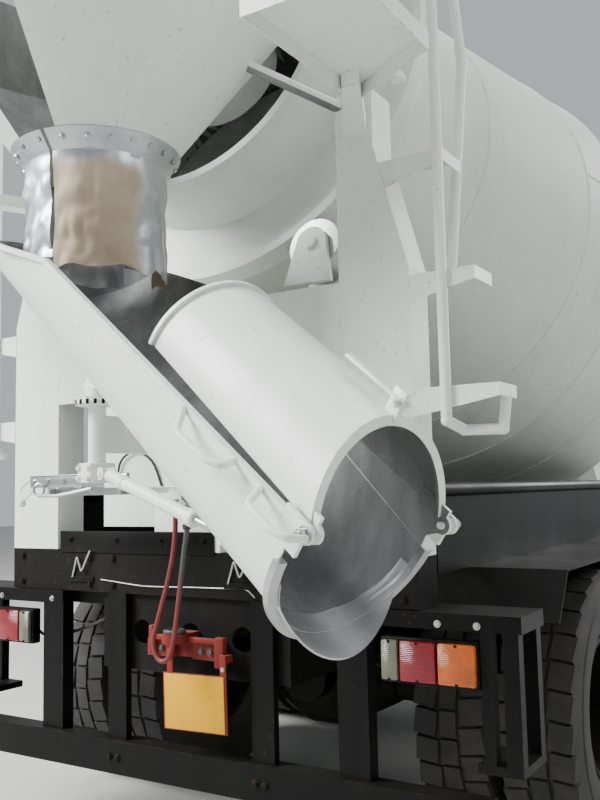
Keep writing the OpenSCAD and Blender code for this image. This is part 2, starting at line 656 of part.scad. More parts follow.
// Fixed sleeve of the chute's swivel, its lock disc and the arm that carries it
sleeve_r = 28;
shaft_r = 20;
disc_r = 60;
hose_top = 1352;
module chute_pedestal() color(white) difference() {
  union() {
    translate([swivel_x, 0, sleeve_z0]) cylinder(r = sleeve_r, h = sleeve_z1 - sleeve_z0);
    translate([swivel_x, 0, sleeve_z1 - 8]) cylinder(r = disc_r, h = 8);
    bar([swivel_x, -22, sleeve_z0 + 30], [tail_x + 20, 22, sleeve_z1 - 60]);
    bar([post_x0, -150, sub_top], [post_x0 + 20, 150, beam_z0]);
    both_sides() bar([post_x0 + 20, 110, sub_top], [post_x0 + 120, 150, beam_z0]);
    // Block that the hose's two ends hang from
    bar([tail_x - 175, -165, hose_top + gap], [post_x0 + 2, -75, hose_top + 38]);
  }
  translate([swivel_x, 0, sleeve_z0 - eps]) cylinder(r = shaft_r + gap, h = 400);
  // Notches round the lock disc
  for (a = [105 : 30 : 255]) translate([swivel_x, 0, sleeve_z1 - 20]) rotate([0, 0, a])
    translate([disc_r - 8, -6, 0]) cube([20, 12, 30]);
}

// Places something on the swivel, with X outwards along the folded chute
module on_swivel() translate([swivel_x, 0, 0]) rotate([0, 0, chute_az]) children();
// Places something on the chute, with X down its slope and the pitch pin at zero
module on_chute() on_swivel() translate([0, 0, pitch_z]) rotate([0, chute_slope, 0]) children();

jack_foot = [60, 1440];
lug_x = 872;
lug_z = -20;
// Jack's upper pin in the swivel's plane
jack_head = [lug_x * cos(chute_slope) + lug_z * sin(chute_slope),
  pitch_z - lug_x * sin(chute_slope) + lug_z * cos(chute_slope)];
jack_len = norm(jack_head - jack_foot);
jack_fall = atan2(jack_foot[1] - jack_head[1], jack_head[0] - jack_foot[0]);
module on_jack() on_swivel() translate([jack_foot[0], 0, jack_foot[1]]) rotate([0, 90 + jack_fall, 0]) children();

fork_in = 17;
fork_t = 12;
pitch_pin_r = 11;
module chute_column() color(white) on_swivel() {
  translate([0, 0, sleeve_z0 - 60]) cylinder(r = shaft_r, h = pitch_z - sleeve_z0 - 10);
  translate([0, 0, sleeve_z1 + gap]) cylinder(r = 34, h = 30);
  translate([0, 0, sleeve_z0 - 66]) cylinder(r = 30, h = 66 - gap);
  bar([-36, -fork_in - fork_t, sleeve_z1 + 24], [36, fork_in + fork_t, sleeve_z1 + 54]);
  for (side = [-1, 1]) {
    translate([0, side * (fork_in + fork_t / 2), 0]) rotate([90, 0, 0]) linear_extrude(fork_t, center = true) {
      translate([-26, sleeve_z1 + 40]) square([52, pitch_z - sleeve_z1 - 40]);
      translate([0, pitch_z]) circle(r = 22);
    }
    // Clevis for the jack
    translate([0, side * (fork_in + 4), 0]) rotate([90, 0, 0]) linear_extrude(8, center = true) {
      translate([10, jack_foot[1] - 20]) square([jack_foot[0] - 10, 40]);
      translate(jack_foot) circle(r = 20);
    }
  }
  translate([0, 0, pitch_z]) rotate([90, 0, 0]) cylinder(r = pitch_pin_r, h = 2 * (fork_in + fork_t) + 8, center = true);
  translate([jack_foot[0], 0, jack_foot[1]]) rotate([90, 0, 0]) cylinder(r = 9, h = 2 * fork_in + 24, center = true);
}

tube_r = 21;
tube_bore = 12.5;
tube_len = 500;
rod_r = 11.5;
eye_bore = 13;
module jack_tube() color(white) on_jack() difference() {
  union() {
    translate([0, 0, 24]) cylinder(r = tube_r, h = tube_len - 24);
    rotate([90, 0, 0]) cylinder(r = 18, h = 26, center = true);
    cylinder(r = 12, h = 30);
  }
  translate([0, 0, 60]) cylinder(r = tube_bore, h = tube_len);
  rotate([90, 0, 0]) cylinder(r = 9 + gap, h = 40, center = true);
}

module jack_rod() color(steel) on_jack() difference() {
  union() {
    translate([0, 0, 170]) cylinder(r = rod_r, h = jack_len - 170 - eye_bore);
    translate([0, 0, jack_len]) rotate([90, 0, 0]) cylinder(r = 24, h = 16, center = true);
  }
  translate([0, 0, jack_len]) rotate([90, 0, 0]) cylinder(r = eye_bore, h = 40, center = true);
}

// Half-round shell of revolution, hollow side up, along X from x0 to x1
module half_shell(profile) rotate([-90, 0, 0]) rotate([0, 90, 0]) rotate_extrude(angle = 180, $fn = 96)
  polygon(profile);

// The trough is a cone whose floor lies parallel to the rim; its head is a round pan about the swivel
mouth_x = 1285;
lip_x = 70;
lip_r = 240;
trough_x = -560;
trough_floor = rim_z - trough_depth;
// Where the swivel's axis meets the rim's plane, measured along the chute
head_x = -rim_z * tan(chute_slope);
trough_taper = atan((head_r - tail_r) / (mouth_x - head_x));
trough_r0 = head_r + (head_x - trough_x) * tan(trough_taper);
trough_len = (mouth_x - trough_x) / cos(trough_taper);
// The head's rim leaves the trough's rim at a kink, and rises less
kink_x = 44;
kink = 17;
kink_back = (kink_x * cos(chute_slope) + rim_z * sin(chute_slope)) / cos(chute_slope - kink);
sheet_lap = 1;
flange_w = 20;
function rim_half(x) = tail_r + (mouth_x - x) * tan(trough_taper);
// Half outline of the head's rim in its own plane, grown by an amount, with way 1 for left to right
function head_rim(grow, way) = concat(
  [[0, way * (rim_half(kink_x) + grow)]],
  [for (a = [90 : 10 : 270]) [-kink_back + (head_r / cos(chute_slope - kink) + grow) * cos(a),
    way * (head_r + grow) * sin(a)]],
  [[0, -way * (rim_half(kink_x) + grow)]]);

// Places something on the trough's cone, with X along its axis from the uphill end
module on_trough() translate([trough_x, 0, trough_floor + trough_r0]) rotate([0, trough_taper, 0]) children();
// Stands something on the pitch pin, upright while the chute is at its parked slope
module upright() rotate([0, -chute_slope, 0]) children();
module under_rim() across(-500, 500, [[-900, -400], [mouth_x - flange_w, -400], [mouth_x - flange_w, rim_z], [kink_x, rim_z],
  [-900, rim_z - (kink_x + 900) * tan(kink)]]);

module trough_shell() intersection() {
  union() {
    on_trough() half_shell([[trough_r0, 0], [tail_r, trough_len], [tail_r - chute_wall, trough_len],
      [trough_r0 - chute_wall, 0]]);
    // Side sheets, lapped a little outside the cone
    both_sides() translate([trough_x, trough_r0 + sheet_lap, 0])
      rotate([0, 0, -trough_taper]) rotate([90, 0, 0]) linear_extrude(chute_wall)
        polygon([[0, trough_floor + trough_r0 - 2], [trough_len, trough_floor + tail_r - 2], [trough_len, rim_z + 60],
          [0, rim_z + 60]]);
  }
  // Nothing of it lies uphill of the head's wall
  upright() union() {
    translate([0, 0, -1500]) cylinder(r = head_r - 2, h = 2500);
    translate([0, -500, -1500]) cube([1600, 1000, 2500]);
  }
  under_rim();
}
module head_wall() intersection() {
  upright() difference() {
    cylinder(r = head_r, h = 700);
    translate([0, 0, -eps]) cylinder(r = head_r - chute_wall, h = 702);
    translate([0, -500, -eps]) cube([500, 1000, 702]);
  }
  on_trough() union() {
    half_shell([[0, 0], [trough_r0, 0], [tail_r, trough_len], [0, trough_len]]);
    translate([0, -500, -eps]) cube([trough_len, 1000, 700]);
  }
  under_rim();
}
module main_chute() color(white) on_chute() {
  trough_shell();
  head_wall();
  // Rolled rim along both sides and round the head
  translate([0, 0, rim_z - 8]) linear_extrude(16) for (side = [-1, 1])
    polygon([[kink_x - 3, side * (rim_half(kink_x) - 10)], [mouth_x, side * (tail_r - 10)],
      [mouth_x, side * (tail_r + 8)], [kink_x - 3, side * (rim_half(kink_x) + 8)]]);
  translate([kink_x, 0, rim_z]) rotate([0, -kink, 0]) translate([0, 0, -8]) linear_extrude(16)
    polygon(concat(head_rim(8, 1), head_rim(-10, -1)));
  // Pin ears at the end
  for (side = [-1, 1]) translate([0, side * (tail_r + 4), 0]) {
    rotate([90, 0, 0]) linear_extrude(10, center = true) {
      translate([mouth_x - 60, rim_z - 60]) square([fold_x - mouth_x + 60, 82]);
      translate([fold_x, rim_z]) circle(r = 22);
    }
    translate([fold_x, -side * 16, rim_z]) rotate([90, 0, 0]) cylinder(r = 9, h = 44, center = true);
  }
  // Lug for the pitch pin and lug for the jack
  difference() {
    union() {
      rotate([90, 0, 0]) linear_extrude(2 * fork_in - 4, center = true) {
        circle(r = 20);
        translate([-20, 0]) square([40, trough_floor + 4]);
      }
      for (side = [-1, 1]) translate([0, side * 16, 0]) rotate([90, 0, 0]) linear_extrude(8, center = true) {
        translate([lug_x, lug_z]) circle(r = 22);
        translate([lug_x - 22, lug_z]) square([44, trough_floor - lug_z + 4]);
      }
    }
    rotate([90, 0, 0]) cylinder(r = pitch_pin_r + gap, h = 100, center = true);
  }
  translate([lug_x, 0, lug_z]) rotate([90, 0, 0]) cylinder(r = 8, h = 48, center = true);
}
// End flange of the main chute with its spoon-shaped lip
module chute_lip() color(steel) on_chute() translate([mouth_x, 0, trough_floor + tail_r]) {
  w = chute_wall;
  half_shell([[tail_r - w, gap - flange_w], [tail_r + 21, gap - flange_w], [tail_r + 21, 0], [tail_r - w, 0]]);
  intersection() {
    half_shell([[tail_r, -2], [tail_r, 200], [tail_r - w, 200], [tail_r - w, -2]]);
    translate([-lip_r + lip_x + fold_x - mouth_x, 0, -tail_r]) cylinder(r = lip_r, h = 2 * tail_r, $fn = 96);
  }
}

// Extension chute, folded back over the main chute with its hollow side down
ext_r0 = tail_r - 11;
ext_r1 = tail_r - 25;
ext_back = 14;
ext_lift = 13;
ext_slant = 25;
ext_ring_t = 10;
module extension_chute() color(white) on_chute() translate([fold_x, 0, rim_z]) {
  w = chute_wall;
  // Shell, from the fold pins back up the slope
  mirror([0, 0, 1]) mirror([1, 0, 0]) translate([ext_back, 0, -ext_lift]) {
    difference() {
      half_shell([[ext_r0, 0], [ext_r1, ext_len], [ext_r1 - w, ext_len], [ext_r0 - w, 0]]);
      rotate([0, -ext_slant, 0]) translate([-200, -300, -400]) cube([200, 600, 800]);
    }
    // Slanted ring inside the hinge end
    intersection() {
      half_shell([[ext_r0 - 24, -5], [ext_r0 - 3, -5], [ext_r0 - 3, 140], [ext_r0 - 24, 140]]);
      rotate([0, -ext_slant, 0]) translate([0, -300, -400]) cube([ext_ring_t, 600, 800]);
    }
    half_shell([[ext_r1 - w, ext_len - 12], [ext_r1 + 10, ext_len - 12], [ext_r1 + 10, ext_len], [ext_r1 - w, ext_len]]);
  }
  // Ears on the fold pins
  for (side = [-1, 1]) translate([0, side * (ext_r0 - 9), 0]) difference() {
    rotate([90, 0, 0]) linear_extrude(10, center = true) {
      circle(r = 22);
      translate([-90, 0]) square([90, 40]);
    }
    rotate([90, 0, 0]) cylinder(r = 9 + gap, h = 30, center = true);
  }
}

// Control linkage to the left of the swivel
module control_linkage() color(steel) {
  x = tail_x - 200;
  bar([x - 6, 40, 1372], [x + 6, 470, 1398]);
  bar([x, 40, 1374], [post_x0 - gap, 80, 1396]);
  rod([x - 30, 60, 1440], [x - 30, 470, 1432], 9);
  bar([x - 36, 90, 1372], [x - 4, 102, 1450]);
  bar([x - 36, 440, 1372], [x - 4, 452, 1445]);
}

// Cab shell: side outline from the rear wall to the windscreen, extruded across
cab_front_x = nose_x - 110;
screen_low = 1800;
screen_top_x = cab_front_x - 170;
belt_z = 1780;
door_x0 = cab_front_x - 1080;
door_x1 = cab_front_x - 190;
door_low = cab_low + 40;
door_top = cab_top - 150;
function cab_side(in) = [[cab_back_x + in, cab_low + in], [cab_front_x - in, cab_low + in],
  [cab_front_x - in, screen_low], [screen_top_x - in, cab_top - 120], [screen_top_x - 90, cab_top - in],
  [cab_back_x + 80, cab_top - in], [cab_back_x + in, cab_top - 90]];
// Door outline, grown or shrunk by an amount
function door_side(in) = [[door_x0 + in, door_low + in], [door_x1 - in, door_low + in], [door_x1 - in, belt_z],
  [door_x1 - 130 - in, door_top - in], [door_x0 + in, door_top - in]];
function window_side() = [[door_x0 + 90, belt_z + 30], [door_x1 - 80, belt_z + 30], [door_x1 - 190, door_top - 80],
  [door_x0 + 90, door_top - 80]];
// Extrudes a side outline from y0 to y1
module across(y0, y1, outline) translate([0, y1, 0]) rotate([90, 0, 0]) linear_extrude(y1 - y0) polygon(outline);
door_gap = 6;
// Door hinges: pin, barrel, their axis and heights
hinge_pin_r = 7;
hinge_r = 13;
hinge_h = 60;
hinge_x = door_x1 - 3;
hinge_y = cab_y + 14;
hinge_z = [door_low + 110, belt_z - 80];
module hinge_pins() both_sides() for (z = hinge_z) {
  translate([hinge_x, hinge_y, z - 10]) cylinder(r = hinge_pin_r, h = hinge_h + 20);
  for (end = [z - 10, z + hinge_h + gap]) translate([0, 0, end]) {
    translate([hinge_x, hinge_y, 0]) cylinder(r = hinge_r, h = 10 - gap);
    bar([hinge_x + 4, cab_y - 5, 0], [hinge_x + 44, hinge_y + 9, 10 - gap]);
  }
}
module hinge_barrels() for (z = hinge_z) difference() {
  union() {
    translate([hinge_x, hinge_y, z]) cylinder(r = hinge_r, h = hinge_h);
    bar([hinge_x - 60, cab_y - 1, z], [hinge_x - 2, cab_y + 8, z + hinge_h]);
  }
  translate([hinge_x, hinge_y, z - eps]) cylinder(r = hinge_pin_r + gap, h = hinge_h + 2 * eps);
}
module cab_shell() color(white) {
  cab_walls();
  hinge_pins();
  // Hinge lugs under the floor
  both_sides() translate([tilt_x, tilt_y, 0]) rotate([90, 0, 0]) linear_extrude(tilt_lug_t, center = true)
    difference() {
      union() {
        translate([-35, tilt_z]) square([70, cab_low - tilt_z + 5]);
        translate([0, tilt_z]) circle(r = 35);
      }
      translate([0, tilt_z]) circle(r = tilt_pin_r + gap);
    }
}
module cab_walls() difference() {
  across(-cab_y, cab_y, cab_side(0));
  across(-cab_y + cab_wall, cab_y - cab_wall, cab_side(cab_wall));
  // Door openings
  across(-cab_y - eps, cab_y + eps, door_side(0));
  // Windscreen and rear window
  bar([cab_front_x - 300, -cab_y + 130, screen_low + 60], [cab_front_x + eps, cab_y - 130, cab_top - 190]);
  bar([cab_back_x - eps, -cab_y + 350, belt_z + 120], [cab_back_x + cab_wall + eps, cab_y - 350, cab_top - 260]);
  // Wheel and engine tunnel opening in the floor
  bar([cab_back_x + 200, -330, cab_low - eps], [cab_front_x - 250, 330, cab_low + cab_wall + eps]);
}
module door(side) color(white) mirror([0, side < 0 ? 1 : 0, 0]) {
  difference() {
    across(cab_y - cab_wall, cab_y, door_side(door_gap));
    across(cab_y - cab_wall - eps, cab_y + eps, window_side());
  }
  hinge_barrels();
}
module door_left() door(1);
module door_right() door(-1);

// Mirrors on arms from the cab's front corners
mirror_out = 1400;
mirror_arm_r = 11;
module mirrors() color(black) both_sides() {
  x = door_x1 + 60;
  y = mirror_out - 90;
  for (z = [belt_z - 140, belt_z + 500]) rod([x, cab_y + gap, z], [x, y, z], mirror_arm_r - 2);
  rod([x, y, belt_z - 150], [x, y, belt_z + 510], mirror_arm_r);
  bar([x - 30, y - 70, belt_z + 20], [x + 20, mirror_out, belt_z + 400]);
}
glass_t = 6;
module cab_glass() color([0.5, 0.6, 0.6]) {
  intersection() {
    across(-cab_y + 130 + gap, cab_y - 130 - gap, cab_side(20));
    difference() {
      bar([cab_front_x - 300, -cab_y + 130 + gap, screen_low + 60 + gap],
        [cab_front_x, cab_y - 130 - gap, cab_top - 190 - gap]);
      across(-cab_y, cab_y, cab_side(20 + glass_t));
    }
  }
  bar([cab_back_x + 18, -cab_y + 350 + gap, belt_z + 120 + gap],
    [cab_back_x + 18 + glass_t, cab_y - 350 - gap, cab_top - 260 - gap]);
}
module cab_interior() color(black) {
  // Engine cover, seats, dashboard and steering wheel
  difference() {
    bar([cab_back_x + 180, -350, cab_low + cab_wall], [cab_front_x - 230, 350, cab_low + 330]);
    bar([cab_back_x + 210, -320, cab_low - eps], [cab_front_x - 260, 320, cab_low + 300]);
  }
  for (side = [-1, 1]) {
    y = side * 720;
    bar([cab_back_x + 300, y - 250, cab_low + cab_wall], [cab_back_x + 700, y + 250, cab_low + 260]);
    bar([cab_back_x + 260, y - 260, cab_low + 260], [cab_back_x + 780, y + 260, cab_low + 400]);
    bar([cab_back_x + 180, y - 250, cab_low + 400], [cab_back_x + 300, y + 250, cab_low + 1050]);
  }
  bar([cab_front_x - 330, -cab_y + cab_wall + 10, cab_low + 480],
    [cab_front_x - cab_wall - gap, cab_y - cab_wall - 10, screen_low - 10]);
  rod([cab_front_x - 300, -720, cab_low + 560], [cab_front_x - 560, -720, cab_low + 760], 25);
  translate([cab_front_x - 560, -720, cab_low + 760]) rotate([0, -52, 0]) {
    rotate_extrude() translate([220, 0]) circle(r = 15, $fn = 24);
    cylinder(r = 40, h = 30, center = true);
    for (a = [0, 120, 240]) rotate([0, 0, a]) translate([0, -12, -5]) cube([212, 24, 10]);
  }
}

bumper_top = 880;
bumper_low = 480;
module front_bumper() color(white) difference() {
  union() {
    bar([nose_x - 120, -cab_y, bumper_low], [nose_x, cab_y, bumper_top]);
    both_sides() bar([rail_front_x + gap, rail_y - 120, rail_low + 30], [nose_x - 110, rail_y, bumper_top]);
  }
  // Hollow back and lamp openings
  bar([nose_x - 130, -cab_y + 12, bumper_low + 12], [nose_x - 12, -rail_y - 12, bumper_top - 12]);
  bar([nose_x - 130, rail_y + 12, bumper_low + 12], [nose_x - 12, cab_y - 12, bumper_top - 12]);
  both_sides() for (y = [700, 940]) translate([nose_x - 60, y, 690]) rotate([0, 90, 0]) cylinder(r = 95, h = 100);
}

// Hanging hose, from the jack's valve to the water pipe: round points by hand
hose_r = 9;
hose_path = [[-3250, -90, 1352], [-3250, -90, 1318], [-3250, -91, 1260], [-3252, -84, 1180], [-3254, -64, 1090],
  [-3256, -36, 1000], [-3256, -12, 930], [-3256, 4, 880], [-3256, -4, 830], [-3256, -30, 806], [-3256, -62, 820],
  [-3256, -82, 870], [-3254, -98, 960], [-3252, -112, 1060], [-3250, -124, 1150], [-3250, -138, 1230],
  [-3250, -150, 1290], [-3250, -150, 1318], [-3250, -150, 1352]];
function hose_point(t) = let(n = len(hose_path) - 1, i = min(floor(t), n - 1), u = t - i,
    a = hose_path[max(i - 1, 0)], b = hose_path[i], c = hose_path[i + 1], d = hose_path[min(i + 2, n)])
  b + 0.5 * u * ((c - a) + u * ((2 * a - 5 * b + 4 * c - d) + u * (3 * (b - c) + d - a)));
hose_steps = 64;
hose_sides = 8;
function unit(v) = v / norm(v);
module hose() color([0.35, 0.15, 0.13]) {
  last = len(hose_path) - 1;
  rings = [for (i = [0 : hose_steps]) let(
      t = last * i / hose_steps,
      p = hose_point(t),
      dir = unit(hose_point(min(t + 0.05, last)) - hose_point(max(t - 0.05, 0))),
      side = unit(cross(dir, [1, 0, 0])),
      up = cross(side, dir))
    each [for (k = [0 : hose_sides - 1]) p + hose_r * (cos(360 * k / hose_sides) * side + sin(360 * k / hose_sides) * up)]];
  faces = [for (i = [0 : hose_steps - 1], k = [0 : hose_sides - 1]) let(
      a = hose_sides * i + k, b = hose_sides * i + (k + 1) % hose_sides)
    each [[a, b, b + hose_sides], [a, b + hose_sides, a + hose_sides]]];
  first_cap = [for (k = [hose_sides - 1 : -1 : 0]) k];
  last_cap = [for (k = [0 : hose_sides - 1]) hose_sides * hose_steps + k];
  polyhedron(rings, concat([first_cap], faces, [last_cap]));
}

frame_rails();
mixer_subframe();
roller_beam();
post_left();
post_right();
front_pedestal();
drum_gearbox();
drum_shell();
drum_blades();
roller_left();
roller_right();
engine();
driveline();
rear_bogie();
front_axle();
knuckle_left();
knuckle_right();
wheel_front_left();
wheel_front_right();
wheel_mid_left();
wheel_mid_right();
wheel_rear_left();
wheel_rear_right();
fuel_tank();
air_rack();
silencer();
water_tank();
mudguard_left();
mudguard_right();
tail_shelf_left();
tail_shelf_right();
tail_lamps();
underrun_bar();
tow_bracket();
service_platform();
ladder_left();
ladder_right();
charge_hopper();
flow_guides();
skirt_sheets();
control_linkage();
chute_pedestal();
chute_column();
jack_tube();
jack_rod();
main_chute();
chute_lip();
extension_chute();
cab_shell();
cab_glass();
cab_interior();
door_left();
door_right();
mirrors();
front_bumper();
hose();
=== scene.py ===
"""Concrete mixer truck: finishes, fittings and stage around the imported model. Lengths are in metres."""
import math

import bpy
from mathutils import Matrix, Vector, noise


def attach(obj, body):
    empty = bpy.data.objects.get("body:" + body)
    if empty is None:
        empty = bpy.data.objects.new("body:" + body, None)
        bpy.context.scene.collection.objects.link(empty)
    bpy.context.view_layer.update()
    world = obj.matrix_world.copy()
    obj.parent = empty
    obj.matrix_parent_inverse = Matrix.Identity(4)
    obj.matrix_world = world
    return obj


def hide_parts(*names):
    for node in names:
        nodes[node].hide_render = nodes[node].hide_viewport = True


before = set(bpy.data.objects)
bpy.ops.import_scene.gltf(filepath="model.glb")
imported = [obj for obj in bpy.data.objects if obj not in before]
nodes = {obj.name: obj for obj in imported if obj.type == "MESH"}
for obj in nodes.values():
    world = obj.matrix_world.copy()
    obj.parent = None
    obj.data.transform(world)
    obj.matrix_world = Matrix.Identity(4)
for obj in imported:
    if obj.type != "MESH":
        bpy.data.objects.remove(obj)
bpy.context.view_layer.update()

# Places repeated from the part's source
TAIL_X = -3.09
POST_X = TAIL_X + 0.01
SWIVEL = Vector((-3.53, 0, 0))
PITCH_Z = 1.8
CHUTE_TURN = math.radians(-106)
CHUTE_SLOPE = math.radians(37)
RIM_Z = 0.341
TROUGH_FLOOR = RIM_Z - 0.316
HEAD_R, TAIL_R = 0.32, 0.225
MOUTH, FOLD = 1.285, 1.304
EXTENSION_R = 0.214
DRUM_AT = Vector((-0.965, 0, 2.625))
DRUM_TILT = math.radians(12.5)
BELLY_R, BELLY_LEN = 1.18, 1.1
CONE_LEN, MOUTH_R = 2.1, 0.56
NOSE_LEN, NOSE_R = 1.3, 0.33
TYRE_R, TYRE_W, RIM_R = 0.52, 0.28, 0.254
CAB_FRONT, CAB_BACK, CAB_Y = 4.08, 2.31, 1.19
NOSE_X = 4.19

# Axles: each one's place along the truck and half its track
AXLES = {"front": (2.81, 1.03), "mid": (-0.72, 0.92), "rear": (-2.02, 0.92)}

# Sides and directions
SIDES = (("right", -1), ("left", 1))
BACK, AHEAD, UP = (-1, 0, 0), (1, 0, 0), (0, 0, 1)

ON_DRUM = Matrix.Translation(DRUM_AT) @ Matrix.Rotation(math.pi / 2 + DRUM_TILT, 4, "Y")
ON_SWIVEL = Matrix.Translation(SWIVEL) @ Matrix.Rotation(CHUTE_TURN, 4, "Z")
ON_CHUTE = ON_SWIVEL @ Matrix.Translation((0, 0, PITCH_Z)) @ Matrix.Rotation(CHUTE_SLOPE, 4, "Y")


# Modelling by hand
def deselect():
    if bpy.context.object and bpy.context.object.mode != "OBJECT":
        bpy.ops.object.mode_set(mode="OBJECT")
    bpy.ops.object.select_all(action="DESELECT")


def take(obj):
    deselect()
    obj.select_set(True)
    bpy.context.view_layer.objects.active = obj
    return obj


def open_mesh(obj):
    take(obj)
    bpy.ops.object.mode_set(mode="EDIT")


def close_mesh():
    bpy.ops.object.mode_set(mode="OBJECT")


def settle(obj, place=None):
    """Puts the object's place into its mesh, and smooths its gentle edges."""
    if place is not None:
        obj.matrix_world = place @ obj.matrix_world
    take(obj)
    bpy.ops.object.transform_apply(location=True, rotation=True, scale=True)
    bpy.ops.object.shade_smooth_by_angle(angle=0.6)
    return obj


def block(name, low, high, edge=0.003, place=None):
    """A bevelled block between two corners."""
    low, high = Vector(low), Vector(high)
    deselect()
    bpy.ops.mesh.primitive_cube_add(size=1, location=(low + high) / 2)
    obj = bpy.context.object
    obj.name = name
    obj.scale = high - low
    bpy.ops.object.transform_apply(location=True, rotation=True, scale=True)
    open_mesh(obj)
    bpy.ops.mesh.select_all(action="SELECT")
    bpy.ops.mesh.bevel(offset=min(edge, 0.45 * min(high - low)), segments=2, affect="EDGES")
    close_mesh()
    return settle(obj, place)


def turned(name, profile, at=(0, 0, 0), along=(0, 0, 1), steps=32, closed=False, place=None):
    """A shape turned on a lathe: (radius, distance) pairs along an axis that starts at a point."""
    deselect()
    bpy.ops.mesh.primitive_circle_add(vertices=steps, radius=profile[0][0], location=(0, 0, profile[0][1]),
                                      fill_type="NOTHING" if closed else "NGON")
    obj = bpy.context.object
    obj.name = name
    bpy.ops.object.transform_apply(location=True, rotation=True, scale=True)
    open_mesh(obj)
    bpy.ops.mesh.select_all(action="SELECT")
    if not closed:
        bpy.ops.mesh.select_mode(type="EDGE")
        bpy.ops.mesh.region_to_loop()
    for (r0, h0), (r1, h1) in zip(profile, profile[1:]):
        bpy.ops.mesh.extrude_edges_move(TRANSFORM_OT_translate={"value": (0, 0, h1 - h0)})
        bpy.ops.transform.resize(value=(r1 / r0, r1 / r0, 1), center_override=(0, 0, h1))
    if not closed:
        bpy.ops.mesh.edge_face_add()
    bpy.ops.mesh.select_all(action="SELECT")
    bpy.ops.mesh.remove_doubles(threshold=1e-5)
    bpy.ops.mesh.normals_make_consistent(inside=False)
    close_mesh()
    obj.matrix_world = stand(at, along)
    return settle(obj, place)


def rounded(points, bend):
    """The route through the points with each corner eased."""
    route = [Vector(points[0])]
    for a, b, c in zip(points, points[1:], points[2:]):
        a, b, c = Vector(a), Vector(b), Vector(c)
        reach = min(bend, (a - b).length * 0.45, (c - b).length * 0.45)
        p, q = b + (a - b).normalized() * reach, b + (c - b).normalized() * reach
        route += [p.lerp(b, t).lerp(b.lerp(q, t), t) for t in (0, 0.25, 0.5, 0.75, 1)]
    return route + [Vector(points[-1])]


def curve_through(name, route, radius, sides=3):
    deselect()
    bpy.ops.curve.primitive_bezier_curve_add(location=(0, 0, 0))
    obj = bpy.context.object
    obj.name = name
    curve = obj.data
    curve.splines.clear()
    spline = curve.splines.new("POLY")
    spline.points.add(len(route) - 1)
    for point, at in zip(spline.points, route):
        point.co = (*at, 1)
    curve.dimensions = "3D"
    curve.bevel_depth = radius
    curve.bevel_resolution = sides
    curve.use_fill_caps = True
    return obj


def bent_rod(name, points, radius, bend=0.04, place=None, sides=3):
    """A round bar or pipe through a few points with eased corners."""
    obj = curve_through(name, rounded(points, bend), radius, sides)
    take(obj)
    bpy.ops.object.convert(target="MESH")
    return settle(bpy.context.object, place)


def joined(name, parts):
    deselect()
    for part in parts:
        part.select_set(True)
    bpy.context.view_layer.objects.active = parts[0]
    if len(parts) > 1:
        bpy.ops.object.join()
    parts[0].name = name
    return parts[0]


def clone(obj):
    other = obj.copy()
    other.data = obj.data.copy()
    bpy.context.scene.collection.objects.link(other)
    return other


def copies(name, first, places):
    """The first piece modelled once and copied to each place, as one piece."""
    made = [clone(first) for _ in places]
    for other, place in zip(made, places):
        other.data.transform(place)
    bpy.data.objects.remove(first)
    return joined(name, made)


def stand(at, out, turn=0.0):
    """Places a piece modelled at zero and pointing up: at a point, pointing outwards."""
    return (Matrix.Translation(at) @ Vector(out).to_track_quat("Z", "Y").to_matrix().to_4x4()
            @ Matrix.Rotation(turn, 4, "Z"))


def bolts(name, size, spots, place=None):
    """Hexagon bolts with washers: the head's radius, and (point, outward direction) pairs."""
    washer = turned("washer", [(size * 1.35, 0), (size * 1.35, size * 0.22)], steps=16)
    head = turned("head", [(size, size * 0.2), (size, size * 0.75), (size * 0.86, size * 0.92)], steps=6)
    one = joined("bolt", [washer, head])
    turns = [stand(at, out, 0.7 * i) for i, (at, out) in enumerate(spots)]
    if place is not None:
        turns = [place @ t for t in turns]
    return copies(name, one, turns)


def grow_mesh(obj, thickness, offset=-1.0):
    take(obj)
    solid = obj.modifiers.new("wall", "SOLIDIFY")
    solid.thickness = thickness
    solid.offset = offset
    bpy.ops.object.modifier_apply(modifier=solid.name)


# Shader groups that several finishes share
def wire(tree, source, target):
    tree.links.new(source, target)


def make_group(name, inputs, outputs):
    group = bpy.data.node_groups.new(name, "ShaderNodeTree")
    for label, kind, default in inputs:
        socket = group.interface.new_socket(label, in_out="INPUT", socket_type=kind)
        if default is not None:
            socket.default_value = default
    for label, kind in outputs:
        group.interface.new_socket(label, in_out="OUTPUT", socket_type=kind)
    return group, group.nodes.new("NodeGroupInput"), group.nodes.new("NodeGroupOutput")


def noise_in(tree, vector, scale, detail=4.0, rough=0.55):
    node = tree.nodes.new("ShaderNodeTexNoise")
    node.inputs["Detail"].default_value = detail
    node.inputs["Roughness"].default_value = rough
    wire(tree, vector, node.inputs["Vector"])
    if hasattr(scale, "is_linked"):
        wire(tree, scale, node.inputs["Scale"])
    else:
        node.inputs["Scale"].default_value = scale
    return node.outputs["Fac"]


def ramp(tree, value, low, high, low_to=0.0, high_to=1.0):
    node = tree.nodes.new("ShaderNodeMapRange")
    for label, number in (("From Min", low), ("From Max", high), ("To Min", low_to), ("To Max", high_to)):
        node.inputs[label].default_value = number
    wire(tree, value, node.inputs["Value"])
    return node.outputs["Result"]


def maths(tree, kind, a, b=None):
    node = tree.nodes.new("ShaderNodeMath")
    node.operation = kind
    for socket, value in zip(node.inputs, (a, b)):
        if hasattr(value, "is_linked"):
            wire(tree, value, socket)
        elif value is not None:
            socket.default_value = value
    return node.outputs[0]


def times(tree, a, b):
    return maths(tree, "MULTIPLY", a, b)


def stretched(tree, vector, scale):
    node = tree.nodes.new("ShaderNodeMapping")
    node.inputs["Scale"].default_value = scale
    wire(tree, vector, node.inputs["Vector"])
    return node.outputs["Vector"]


